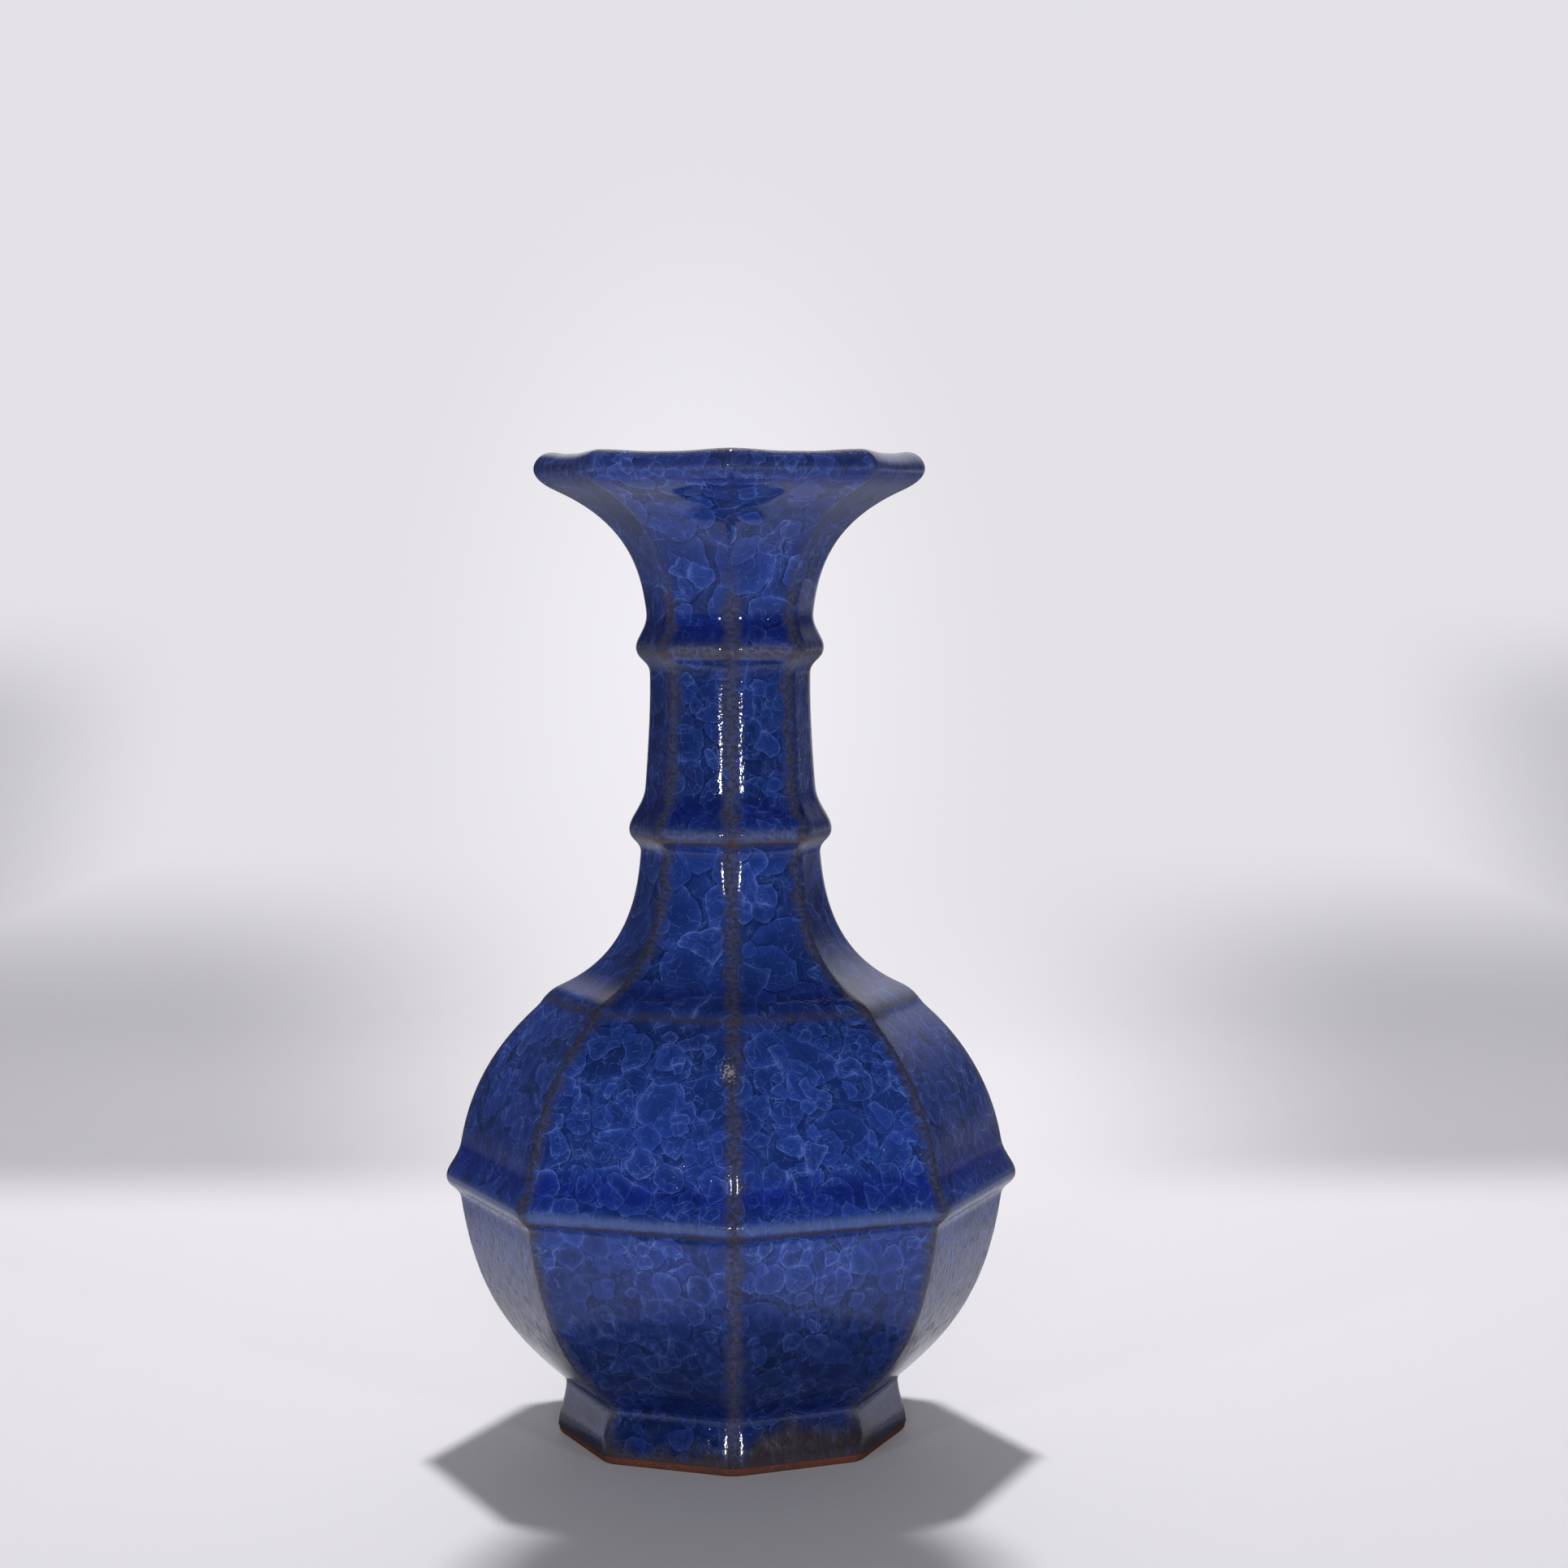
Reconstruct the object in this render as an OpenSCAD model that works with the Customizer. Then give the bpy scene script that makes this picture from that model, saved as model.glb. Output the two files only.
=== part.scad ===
// Ribbed ceramic bottle vase: a panelled body with a globular belly, a slender neck and a flared mouth.
// It is built up from clay sections that stand on one another, with strips of clay over the seams,
// and it is coated with a thick glaze outside, inside and under the floor.
//
// The vase stands on its foot at height zero, its axis runs up through the origin, and one rib faces
// the front. Widths are those of the finished vase, glaze included, across two opposite ribs. A lean
// is the angle of the outline from upright, above zero where the outline opens outward on its way up.

/* [Panels, wall and glaze] */
// Number of panels round the vase
panel_count = 8; // [6:2:10]
// Thickness of the clay wall
wall_t = 5; // [3.5:0.5:6]
// Thickness of the glaze on the panels
glaze_t = 1; // [0.6:0.1:1.4]
// Thickness of the glaze at its lower edge on the foot
glaze_edge_t = 0.3; // [0.2:0.05:0.5]
// Radius of the ribs between the panels, over the glaze
rib_r = 2.8; // [1.6:0.2:4]

/* [Foot] */
// Width of the foot where it is widest, at the top of its bare edge
foot_w = 107.2; // [98:0.2:118]
// Height of the bare clay edge below the glaze
bare_h = 2.4; // [1.6:0.2:3.6]
// How far the bare edge is rounded in at the ground
foot_edge_w = 0.8; // [0.4:0.1:1.4]
// Width of the standing rim under a panel
foot_rim_w = 7; // [5:0.5:9]
// Width of the foot at the crease under the belly
foot_top_w = 102; // [94:0.5:110]
// Height of the foot, up to the crease
foot_h = 16.6; // [13:0.2:22]
// Lean of the foot just above its bare edge
foot_lean = -7; // [-12:1:0]
// Thickness of the floor slab
floor_t = 6; // [4:0.5:8]

/* [Belly] */
// Lean of the belly as it leaves the foot
belly_foot_lean = 49; // [42:1:56]
// Height of the lower belly, from the crease to the belly seam
lower_belly_h = 63.2; // [56:0.2:72]
// Lean of the lower belly at the seam
lower_seam_lean = 5; // [1:1:9]
// Width of the wall at the belly seam
belly_w = 167.4; // [158:0.2:178]
// Lean of the upper belly at the seam
upper_seam_lean = -1; // [-5:1:1]
// Height of the upper belly, from the seam to the shoulder ridge
upper_belly_h = 52.7; // [46:0.1:60]
// Lean of the upper belly as it reaches the shoulder ridge
belly_top_lean = -47; // [-54:1:-40]

/* [Shoulder] */
// Width of the shoulder ridge at its lower edge
ridge_w = 117.2; // [111:0.2:124]
// Lean of the shoulder ridge at its lower edge
ridge_lean = -28; // [-36:1:-20]
// Height of the shoulder ridge
ridge_h = 5.9; // [4:0.1:8]
// How far the shoulder ridge comes in from its lower to its upper edge
ridge_step = 6.4; // [4.6:0.1:8.2]
// Lean of the shoulder at the upper edge of the ridge
shoulder_lean = -65; // [-69:1:-58]
// Height of the shoulder, from the ridge to the lower neck seam
shoulder_h = 47.6; // [42:0.2:56]

/* [Neck] */
// Width of the wall at the lower neck seam
neck_foot_w = 54; // [50:0.2:58]
// Lean of the wall at the lower neck seam
neck_foot_lean = -4; // [-6:0.5:-2]
// Height of the neck between its two seams
neck_h = 55.2; // [46:0.2:66]
// Width of the wall at the upper neck seam
neck_top_w = 49.4; // [45:0.2:52]
// Lean of the wall at the upper neck seam
neck_top_lean = 2.5; // [0:0.5:4]

/* [Mouth and lip] */
// Height of the flared mouth, from the upper neck seam to the lip
mouth_h = 47.4; // [42:0.2:54]
// Width of the mouth where the lip starts
mouth_w = 106; // [100:0.5:112]
// Lean of the mouth where the lip starts
mouth_lean = 65; // [58:1:68]
// How far the lip stands out from the mouth
lip_reach = 6.4; // [5:0.1:8]
// Height from the start of the lip to its outer edge
lip_under_h = 6.4; // [5:0.2:8]
// How far the top of the lip lies in from its outer edge
lip_top_in = 5; // [4:0.1:6]
// Height from the outer edge of the lip to its top
lip_over_h = 5; // [4:0.2:7]

/* [Belly fillet] */
// How far the strip stands out from the wall at the belly seam
belly_fillet_reach = 3.7; // [2.7:0.1:5.5]
// Height of the strip below its edge
belly_fillet_under_h = 5.6; // [4.5:0.1:7]
// Height of the strip above its edge
belly_fillet_over_h = 9.5; // [7:0.1:12]

/* [Lower neck fillet] */
// How far the strip stands out from the wall at the lower neck seam
lower_fillet_reach = 4; // [3:0.1:5.5]
// Height of the strip below its edge
lower_fillet_under_h = 6; // [4.5:0.1:7.5]
// Height of the strip above its edge
lower_fillet_over_h = 11.8; // [9:0.1:14]

/* [Upper neck fillet] */
// How far the strip stands out from the wall at the upper neck seam
upper_fillet_reach = 4; // [3:0.1:5.5]
// Height of the strip below its edge
upper_fillet_under_h = 6.6; // [4.5:0.1:8]
// Height of the strip above its edge
upper_fillet_over_h = 9.8; // [8:0.1:12]

/* [Hidden] */

clay_colour = [0.47, 0.30, 0.22];
glaze_colour = [0.13, 0.17, 0.45];
base_glaze_colour = [0.55, 0.57, 0.62];

// Heights of the seams and edges above the ground
belly_z = foot_h + lower_belly_h;
ridge_z = belly_z + upper_belly_h;
shoulder_z = ridge_z + ridge_h;
neck_z = shoulder_z + shoulder_h;
throat_z = neck_z + neck_h;
mouth_z = throat_z + mouth_h;
lip_z = mouth_z + lip_under_h;
top_z = lip_z + lip_over_h;
recess_z = foot_h - floor_t;

// Widths that follow from the pieces underneath
shoulder_w = ridge_w - 2 * ridge_step;
lip_w = mouth_w + 2 * lip_reach;
lip_top_w = lip_w - 2 * lip_top_in;
belly_fillet_w = belly_w + 2 * belly_fillet_reach;
lower_fillet_w = neck_foot_w + 2 * lower_fillet_reach;
upper_fillet_w = neck_top_w + 2 * upper_fillet_reach;

// Bend between the mouth and the lip, and the leans of the lip where it starts and where it comes down inside
lip_bend = 3;
lip_start_lean = mouth_lean - lip_bend;
lip_inside_lean = mouth_lean - 180;

// Lean of a strip against the wall at its lower edge and where it fades out above
fillet_crease_lean = 15;
fillet_fade_lean = 6;

// How strongly each stretch holds its lean at its two ends, as shares of the straight line between them
foot_pull_shares = [0.4, 0.4];
lower_belly_pull_shares = [0.3, 0.5];
upper_belly_pull_shares = [0.25, 0.45];
ridge_pull_shares = [0.4, 0.3];
shoulder_pull_shares = [0.47, 0.26];
neck_pull_shares = [0.3, 0.35];
mouth_pull_shares = [0.35, 0.48];
lip_under_pull_shares = [0.2, 0.35];
lip_over_pull_shares = [0.3, 0.35];
lip_inside_pull_shares = [0.4, 0.3];
fillet_under_pull_shares = [0.5, 0.4];
fillet_over_pull_shares = [0.25, 0.45];

// Number of straight steps in a long, a middling and a short stretch of the outline
long_steps = 14;
middle_steps = 7;
short_steps = 5;

// Least share of the glaze that is left on a rib, which limits the radius of the rib
rib_coat_share = 0.3;
// Points at heights closer than this are the same point
touch = glaze_edge_t / 10;

// Half the angle between two ribs, and how much further out a sharp rib lies than its panels
half_turn = 180 / panel_count;
rib_reach = 1 / cos(half_turn);

// Distance from the axis to the middle of a panel on the finished vase, from a width across the ribs
function flat(width) = (width / 2 - rib_r) / rib_reach + rib_r;

// Point of the clay under a coat, as [distance of the panel from the axis, height]
function clay_at(width, height, lean, coat = glaze_t) =
    [flat(width) - coat * cos(lean), height + coat * sin(lean)];

// Direction of an outline that runs up with a lean, and the side of it that faces out
function heading(lean) = [sin(lean), cos(lean)];
function outward(direction) = [direction.y, -direction.x];
function unit(v) = v / norm(v);

// Curve that leaves one point and reaches the next at the given leans, without its first point
function curve(from, to, from_lean, to_lean, pull_shares, steps) =
    let (
        reach = norm(to - from),
        from_pull = from + reach * pull_shares[0] * heading(from_lean),
        to_pull = to - reach * pull_shares[1] * heading(to_lean)
    )
    [for (step = [1 : steps]) on_curve(from, from_pull, to_pull, to, step / steps)];

function on_curve(a, b, c, d, t) =
    pow(1 - t, 3) * a + 3 * t * pow(1 - t, 2) * b + 3 * pow(t, 2) * (1 - t) * c + pow(t, 3) * d;

// Outline with each of its points moved out by its own amount, or in where the amount is below zero
function moved(path, amounts) =
    let (
        last = len(path) - 1,
        sides = [for (i = [0 : last - 1]) outward(unit(path[i + 1] - path[i]))]
    )
    [for (i = [0 : last])
        let (
            before = sides[max(i - 1, 0)],
            middle = unit(before + sides[min(i, last - 1)])
        )
        path[i] + amounts[i] / (middle * before) * middle];

function evenly(path, amount) = [for (point = path) amount];
function backward(path) = [for (i = [len(path) - 1 : -1 : 0]) path[i]];
function without_first(path) = [for (i = [1 : len(path) - 1]) path[i]];

// Distance of a panel from the axis, and the lean of the wall, at a height on an outline
function flat_at(path, height) = lookup(height, [for (point = path) [point.y, point.x]]);
function lean_at(path, height) =
    atan2(flat_at(path, height + glaze_t) - flat_at(path, height - glaze_t), 2 * glaze_t);

// Points of a path whose partners in a guide of the same length lie between two heights
function pick(path, guide, low, high) =
    [for (i = [0 : len(path) - 1]) if (guide[i].y > low - touch && guide[i].y < high + touch) path[i]];

// Edges of the clay, where the leans on both sides are known
foot_edge = clay_at(foot_w, bare_h, 0, glaze_edge_t);
foot_top = clay_at(foot_top_w, foot_h, belly_foot_lean / 2);
belly_seam = clay_at(belly_w, belly_z, (lower_seam_lean + upper_seam_lean) / 2);
ridge_edge = clay_at(ridge_w, ridge_z, (belly_top_lean + ridge_lean) / 2);
shoulder_edge = clay_at(shoulder_w, shoulder_z, shoulder_lean);
neck_seam = clay_at(neck_foot_w, neck_z, neck_foot_lean);
throat_seam = clay_at(neck_top_w, throat_z, neck_top_lean);
mouth_edge = clay_at(mouth_w, mouth_z, (mouth_lean + lip_start_lean) / 2);
lip_edge = clay_at(lip_w, lip_z, 0);
lip_top = clay_at(lip_top_w, top_z, -90);

// Outside of the foot, from the ground up to the crease
foot_ground = foot_edge - [foot_edge_w, bare_h];
foot_bare_side = concat([foot_ground],
    curve(foot_ground, foot_edge, 45, 0, foot_pull_shares, short_steps));
foot_glazed_side = curve(foot_edge, foot_top, foot_lean, 0, foot_pull_shares, short_steps);

// Width of the foot's top, which carries the leaning belly wall
seat_w = wall_t / cos(belly_foot_lean);
seat_inner = [foot_top.x - seat_w, foot_h];

// Outside of the ridge between its two edges
ridge_side = curve(ridge_edge, shoulder_edge, ridge_lean, shoulder_lean, ridge_pull_shares, short_steps);

// Outside of the wall without its strips, from the foot up to the lip
bare_wall = concat(
    [foot_top],
    curve(foot_top, belly_seam, belly_foot_lean, lower_seam_lean, lower_belly_pull_shares, long_steps),
    curve(belly_seam, ridge_edge, upper_seam_lean, belly_top_lean, upper_belly_pull_shares, long_steps),
    ridge_side,
    curve(shoulder_edge, neck_seam, shoulder_lean, neck_foot_lean, shoulder_pull_shares, long_steps),
    curve(neck_seam, throat_seam, neck_foot_lean, neck_top_lean, neck_pull_shares, middle_steps),
    curve(throat_seam, mouth_edge, neck_top_lean, mouth_lean, mouth_pull_shares, long_steps)
);

// Edge of each strip, which lies over a seam, and the heights of the strip below and above it
belly_strip = [clay_at(belly_fillet_w, belly_z, 0), belly_fillet_under_h, belly_fillet_over_h];
lower_strip = [clay_at(lower_fillet_w, neck_z, 0), lower_fillet_under_h, lower_fillet_over_h];
upper_strip = [clay_at(upper_fillet_w, throat_z, 0), upper_fillet_under_h, upper_fillet_over_h];

// Heights at which a strip starts and ends
function strip_low(strip) = strip[0].y - strip[1];
function strip_high(strip) = strip[0].y + strip[2];

// Wall with points of its own where a strip starts and ends, and none too close to them
function with_ends(path, strip) =
    let (low = strip_low(strip), high = strip_high(strip))
    concat(
        [for (point = path) if (point.y < low - glaze_t) point],
        [[flat_at(path, low), low]],
        [for (point = path) if (point.y > low + glaze_t && point.y < high - glaze_t) point],
        [[flat_at(path, high), high]],
        [for (point = path) if (point.y > high + glaze_t) point]
    );

// Outside of the wall, and the same without the rounding of the ridge, which the inside doesn't follow
wall = with_ends(with_ends(with_ends(bare_wall, belly_strip), lower_strip), upper_strip);
plain_wall = [for (point = wall)
    if (point.y < ridge_edge.y + touch || point.y > shoulder_edge.y - touch) point];

// Inside of the wall, from the floor up to the lip, point by point beside the plain wall
inner_wall = concat([seat_inner], without_first(moved(plain_wall, evenly(plain_wall, -wall_t))));

// Outside of a strip, between its ends on the wall
function strip_side(strip) =
    let (
        low = [flat_at(wall, strip_low(strip)), strip_low(strip)],
        high = [flat_at(wall, strip_high(strip)), strip_high(strip)],
        crease_lean = lean_at(wall, low.y) + fillet_crease_lean,
        fade_lean = lean_at(wall, high.y) - fillet_fade_lean
    )
    concat(
        [low],
        curve(low, strip[0], crease_lean, 0, fillet_under_pull_shares, short_steps),
        curve(strip[0], high, 0, fade_lean, fillet_over_pull_shares, middle_steps)
    );

// Wall with a strip laid over it
function with_strip(path, strip) =
    concat(
        [for (point = path) if (point.y < strip_low(strip) - touch) point],
        strip_side(strip),
        [for (point = path) if (point.y > strip_high(strip) + touch) point]
    );

// Outside and inside of the lip, without the points where it starts and ends on the mouth
lip_outside = concat(
    curve(mouth_edge, lip_edge, lip_start_lean, 0, lip_under_pull_shares, short_steps),
    curve(lip_edge, lip_top, 0, -90, lip_over_pull_shares, short_steps)
);
mouth_inner = inner_wall[len(inner_wall) - 1];
lip_inside = curve(lip_top, mouth_inner, -90, lip_inside_lean, lip_inside_pull_shares, middle_steps);

// Clay surface under the outer glaze, from the bare edge up to the top of the lip
coated_outside = concat([foot_edge], foot_glazed_side,
    without_first(with_strip(with_strip(with_strip(wall, belly_strip), lower_strip), upper_strip)),
    lip_outside);

// Clay surface under the inner glaze, from the top of the lip down to the edge of the floor
coated_inside = concat([lip_top], lip_inside, without_first(backward(inner_wall)));

// Thickness of the glaze at a height on the outside, thinner towards its lower edge
function coat_at(height) = lookup(height, [[bare_h, glaze_edge_t], [foot_h, glaze_t]]);

// Surface of the glaze outside and inside, worked out as one line over the lip down to the floor
glazed_line = let (path = concat(coated_outside, without_first(coated_inside), [[0, foot_h]]))
    moved(path, concat([for (point = coated_outside) coat_at(point.y)],
        [for (i = [len(coated_outside) : len(path) - 1]) glaze_t]));
glazed_outside = [for (i = [0 : len(coated_outside) - 1]) glazed_line[i]];
glazed_inside = [for (i = [len(coated_outside) - 1 : len(glazed_line) - 2]) glazed_line[i]];

// Ceiling and wall of the recess under the floor, down to the bare rim
recess_top = [seat_inner.x, recess_z];
rim_inner = [foot_edge.x - foot_rim_w, foot_edge_w];
recess_end = [lookup(bare_h, [[rim_inner.y, rim_inner.x], [recess_z, recess_top.x]]), bare_h];
recess_line = [[0, recess_z], recess_top, recess_end];

// Level of the plan: distance of its panels from the axis, height, and radius of its ribs
function sharp(path) = [for (point = path) [point.x, point.y, 0]];
function ribbed(path) = [for (point = path) [point.x, point.y, rib_at(coat_at(point.y))]];
function rib_at(coat) = min(rib_r, coat * (rib_reach - rib_coat_share) / (rib_reach - 1));

// Points round a level. A sharp rib is one point, and a rounded one is the two ends and middle of its arc.
function swings(level) = level[2] > 0 ? [-1, 0, 1] : [0];
function level_points(level) =
    [for (corner = [0 : panel_count - 1], swing = swings(level))
        let (
            turn = 2 * half_turn * corner - 90,
            reach = (level[0] - level[2]) * rib_reach,
            end = turn + swing * half_turn
        )
        [reach * cos(turn) + level[2] * cos(end), reach * sin(turn) + level[2] * sin(end), level[1]]];

// Faces between two levels, which may have different numbers of points on a rib
function band_faces(a, b, a_start, b_start) =
    let (a_size = len(swings(a)), b_size = len(swings(b)), size = max(a_size, b_size))
    [for (corner = [0 : panel_count - 1], step = [0 : size - 1])
        let (
            next = step < size - 1 ? corner : (corner + 1) % panel_count,
            a_near = a_start + corner * a_size + min(step, a_size - 1),
            b_near = b_start + corner * b_size + min(step, b_size - 1),
            a_far = a_start + next * a_size + (next == corner ? min(step + 1, a_size - 1) : 0),
            b_far = b_start + next * b_size + (next == corner ? min(step + 1, b_size - 1) : 0),
            face = [a_near, b_near, b_far, a_far]
        )
        [for (i = [0 : 3]) if (face[i] != face[(i + 1) % 4]) face[i]]];

// Solid through a list of levels. A hollow one closes from its last level to its first, as a ring does.
module loft(levels, hollow) {
    sizes = [for (level = levels) panel_count * len(swings(level))];
    starts = [for (i = 0, total = 0; i < len(levels); total = total + sizes[i], i = i + 1) total];
    last = len(levels) - 1;
    bands = [for (i = [0 : hollow ? last : last - 1])
        let (next = (i + 1) % len(levels))
        each band_faces(levels[i], levels[next], starts[i], starts[next])];
    ends = hollow ? [] : [
        [for (i = [0 : sizes[0] - 1]) i],
        [for (i = [sizes[last] - 1 : -1 : 0]) starts[last] + i]
    ];
    polyhedron([for (level = levels) each level_points(level)], concat(bands, ends), convexity = 6);
}

// Section of the wall between two of its edges, with both of its seams square to the wall
module wall_section(low, high) {
    outer = pick(wall, wall, low.y, high.y);
    inner = pick(inner_wall, plain_wall, low.y, high.y);
    loft(sharp(concat(outer, backward(inner))), true);
}

// Strip of clay luted over a seam, with its back against the wall
module strip_section(strip) {
    back = pick(wall, wall, strip_low(strip) + 2 * touch, strip_high(strip) - 2 * touch);
    loft(sharp(concat(strip_side(strip), backward(back))), true);
}

// Foot: a flared ring with a rounded bare edge, a standing rim and a rebate for the floor slab
module foot_ring() {
    rim_ground = [rim_inner.x + foot_edge_w, 0];
    color(clay_colour)
        loft(sharp(concat(foot_bare_side, foot_glazed_side, [seat_inner, recess_top, rim_inner, rim_ground])), true);
}

// Floor: a flat slab set into the top of the foot
module base_floor() {
    color(clay_colour)
        translate([0, 0, recess_z])
            rotate(-90)
                linear_extrude(floor_t)
                    circle(seat_inner.x * rib_reach, $fn = panel_count);
}

module lower_belly() {
    color(clay_colour) wall_section(foot_top, belly_seam);
}

module upper_belly() {
    color(clay_colour) wall_section(belly_seam, ridge_edge);
}

// Shoulder: the ledge of the ridge and the hollow sweep up to the neck
module shoulder() {
    color(clay_colour) wall_section(ridge_edge, neck_seam);
}

module neck() {
    color(clay_colour) wall_section(neck_seam, throat_seam);
}

module mouth() {
    color(clay_colour) wall_section(throat_seam, mouth_edge);
}

// Lip: a thick turned-up rim round the edge of the mouth
module lip() {
    color(clay_colour) loft(sharp(concat([mouth_edge], lip_outside, lip_inside)), true);
}

module belly_fillet() {
    color(clay_colour) strip_section(belly_strip);
}

module lower_neck_fillet() {
    color(clay_colour) strip_section(lower_strip);
}

module upper_neck_fillet() {
    color(clay_colour) strip_section(upper_strip);
}

// Outer glaze: follows every ledge and strip, thins on the ribs and stops above the bare edge of the foot
module outer_glaze() {
    color(glaze_colour)
        loft(concat(ribbed(glazed_outside), sharp(backward(coated_outside))), true);
}

// Inner glaze: a liner that starts on the lip, where the outer glaze ends, and covers the floor
module inner_glaze() {
    rim_level = ribbed([glazed_inside[0]]);
    color(glaze_colour)
        loft(concat(sharp(backward(coated_inside)), rim_level, sharp(without_first(glazed_inside))), false);
}

// Base glaze: a coat on the floor slab and the recess wall, above the bare rim
module base_glaze() {
    coat = without_first(moved(recess_line, evenly(recess_line, glaze_t)));
    color(base_glaze_colour)
        loft(sharp(concat(coat, backward(without_first(recess_line)))), false);
}

foot_ring();
base_floor();
lower_belly();
upper_belly();
shoulder();
neck();
mouth();
lip();
belly_fillet();
lower_neck_fillet();
upper_neck_fillet();
outer_glaze();
inner_glaze();
base_glaze();
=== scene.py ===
"""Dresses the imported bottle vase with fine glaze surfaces, procedural finishes, a studio and a camera.

The outer glaze, the inner glaze and the foot are modelled again with soft ribs and flowing ledges. They
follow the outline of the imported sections, whose widths, heights and leans are repeated here in millimetres
and degrees, and their meshes are made in metres. A width is measured across two opposite ribs. A lean is
the angle of the outline from upright, above zero where it opens outward on its way up.
"""

import logging
import math
from bisect import bisect_left
from collections.abc import Callable, Iterable, Sequence
from dataclasses import dataclass, field
from enum import Enum
from functools import reduce
from typing import NamedTuple

import bmesh
import bpy
from mathutils import Euler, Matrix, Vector, noise

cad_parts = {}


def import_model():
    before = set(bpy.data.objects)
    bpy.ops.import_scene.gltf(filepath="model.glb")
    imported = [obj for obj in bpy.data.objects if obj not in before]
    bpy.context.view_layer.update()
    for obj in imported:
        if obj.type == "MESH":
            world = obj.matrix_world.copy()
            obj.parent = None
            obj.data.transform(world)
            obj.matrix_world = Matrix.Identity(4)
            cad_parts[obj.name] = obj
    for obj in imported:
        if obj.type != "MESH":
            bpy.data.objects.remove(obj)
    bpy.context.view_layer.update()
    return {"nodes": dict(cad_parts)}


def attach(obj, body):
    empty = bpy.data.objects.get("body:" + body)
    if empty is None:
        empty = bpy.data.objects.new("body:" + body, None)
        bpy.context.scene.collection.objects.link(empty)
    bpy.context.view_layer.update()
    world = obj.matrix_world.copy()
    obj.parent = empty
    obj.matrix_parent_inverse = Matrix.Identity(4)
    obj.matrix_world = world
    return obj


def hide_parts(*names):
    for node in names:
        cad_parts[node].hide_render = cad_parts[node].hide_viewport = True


MM = 0.001
BODY = "root"
PANELS = 8
PANEL_MAP = "panel_map"
PANEL_SHIFT = (137.0, 41.0)  # shift of the map from one panel to the next, in mm
HALF_PANEL = math.pi / PANELS  # half the angle that a panel spans, in radians
RIB_REACH = 1 / math.cos(HALF_PANEL)  # distance of a sharp rib for each unit of panel distance
BLACK = (0.0, 0.0, 0.0)

log = logging.getLogger("bottle_vase")

Colour = tuple[float, float, float]
Triple = tuple[float, float, float]
Span = tuple[float, float]
Socket = bpy.types.NodeSocket


class Slot(Enum):
    """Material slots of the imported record."""

    CLAY = "clay"
    GLAZE = "crackle_glaze"


# Outline of the vase


@dataclass(frozen=True)
class Strip:
    """A strip of clay over a seam, in mm.

    It holds the height of the seam, how far the strip stands out there, how far it runs below and above
    the seam, and the width of the wall across two ribs.
    """

    seam: float
    reach: float
    under: float
    over: float
    wall_width: float

    @property
    def low(self) -> float:
        """Height at which the strip starts."""
        return self.seam - self.under

    @property
    def high(self) -> float:
        """Height at which the strip ends."""
        return self.seam + self.over


@dataclass(frozen=True)
class VaseSizes:
    """Widths, heights and leans of the vase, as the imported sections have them."""

    wall: float = 5.0
    coat: float = 1.0
    coat_edge: float = 0.3
    rib: float = 2.8
    foot_width: float = 107.2
    bare_height: float = 2.4
    foot_edge: float = 0.8
    foot_rim: float = 7.0
    foot_top_width: float = 102.0
    foot_height: float = 16.6
    foot_lean: float = -7.0
    floor: float = 6.0
    belly_foot_lean: float = 49.0
    lower_seam_lean: float = 5.0
    belly_height: float = 79.8
    belly_width: float = 167.4
    upper_seam_lean: float = -1.0
    ridge_height: float = 132.5
    ridge_width: float = 117.2
    belly_top_lean: float = -47.0
    ridge_lean: float = -28.0
    shoulder_height: float = 138.4
    shoulder_width: float = 104.4
    shoulder_lean: float = -65.0
    neck_height: float = 186.0
    neck_width: float = 54.0
    neck_lean: float = -4.0
    throat_height: float = 241.2
    throat_width: float = 49.4
    throat_lean: float = 2.5
    mouth_height: float = 288.6
    mouth_width: float = 106.0
    mouth_lean: float = 65.0
    lip_bend: float = 3.0
    lip_height: float = 295.0
    lip_width: float = 118.8
    top_height: float = 300.0
    top_width: float = 108.8

    @property
    def strips(self) -> tuple[Strip, Strip, Strip]:
        """The strips over the belly seam and the two neck seams.

        Returns:
            The strips from the lowest up.
        """
        return (
            Strip(self.belly_height, 3.7, 5.6, 9.5, self.belly_width),
            Strip(self.neck_height, 4.0, 6.0, 11.8, self.neck_width),
            Strip(self.throat_height, 4.0, 6.6, 9.8, self.throat_width),
        )

    def flat(self, width: float) -> float:
        """Distance of a panel from the axis, from a width across two opposite ribs."""
        return (width / 2 - self.rib) / RIB_REACH + self.rib


VASE = VaseSizes()


def heading(lean: float) -> Vector:
    """Direction of an outline that runs up with a lean in degrees."""
    return Vector((math.sin(math.radians(lean)), math.cos(math.radians(lean))))


def smooth_step(low: float, high: float, value: float) -> float:
    """Share from 0 at low to 1 at high, with a soft start and end.

    Args:
        low: Value at which the share is 0.
        high: Value at which the share is 1. It may be below low.
        value: Where the share is wanted.

    Returns:
        The share.
    """
    share = min(1.0, max(0.0, (value - low) / (high - low)))
    return share * share * (3 - 2 * share)


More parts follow.
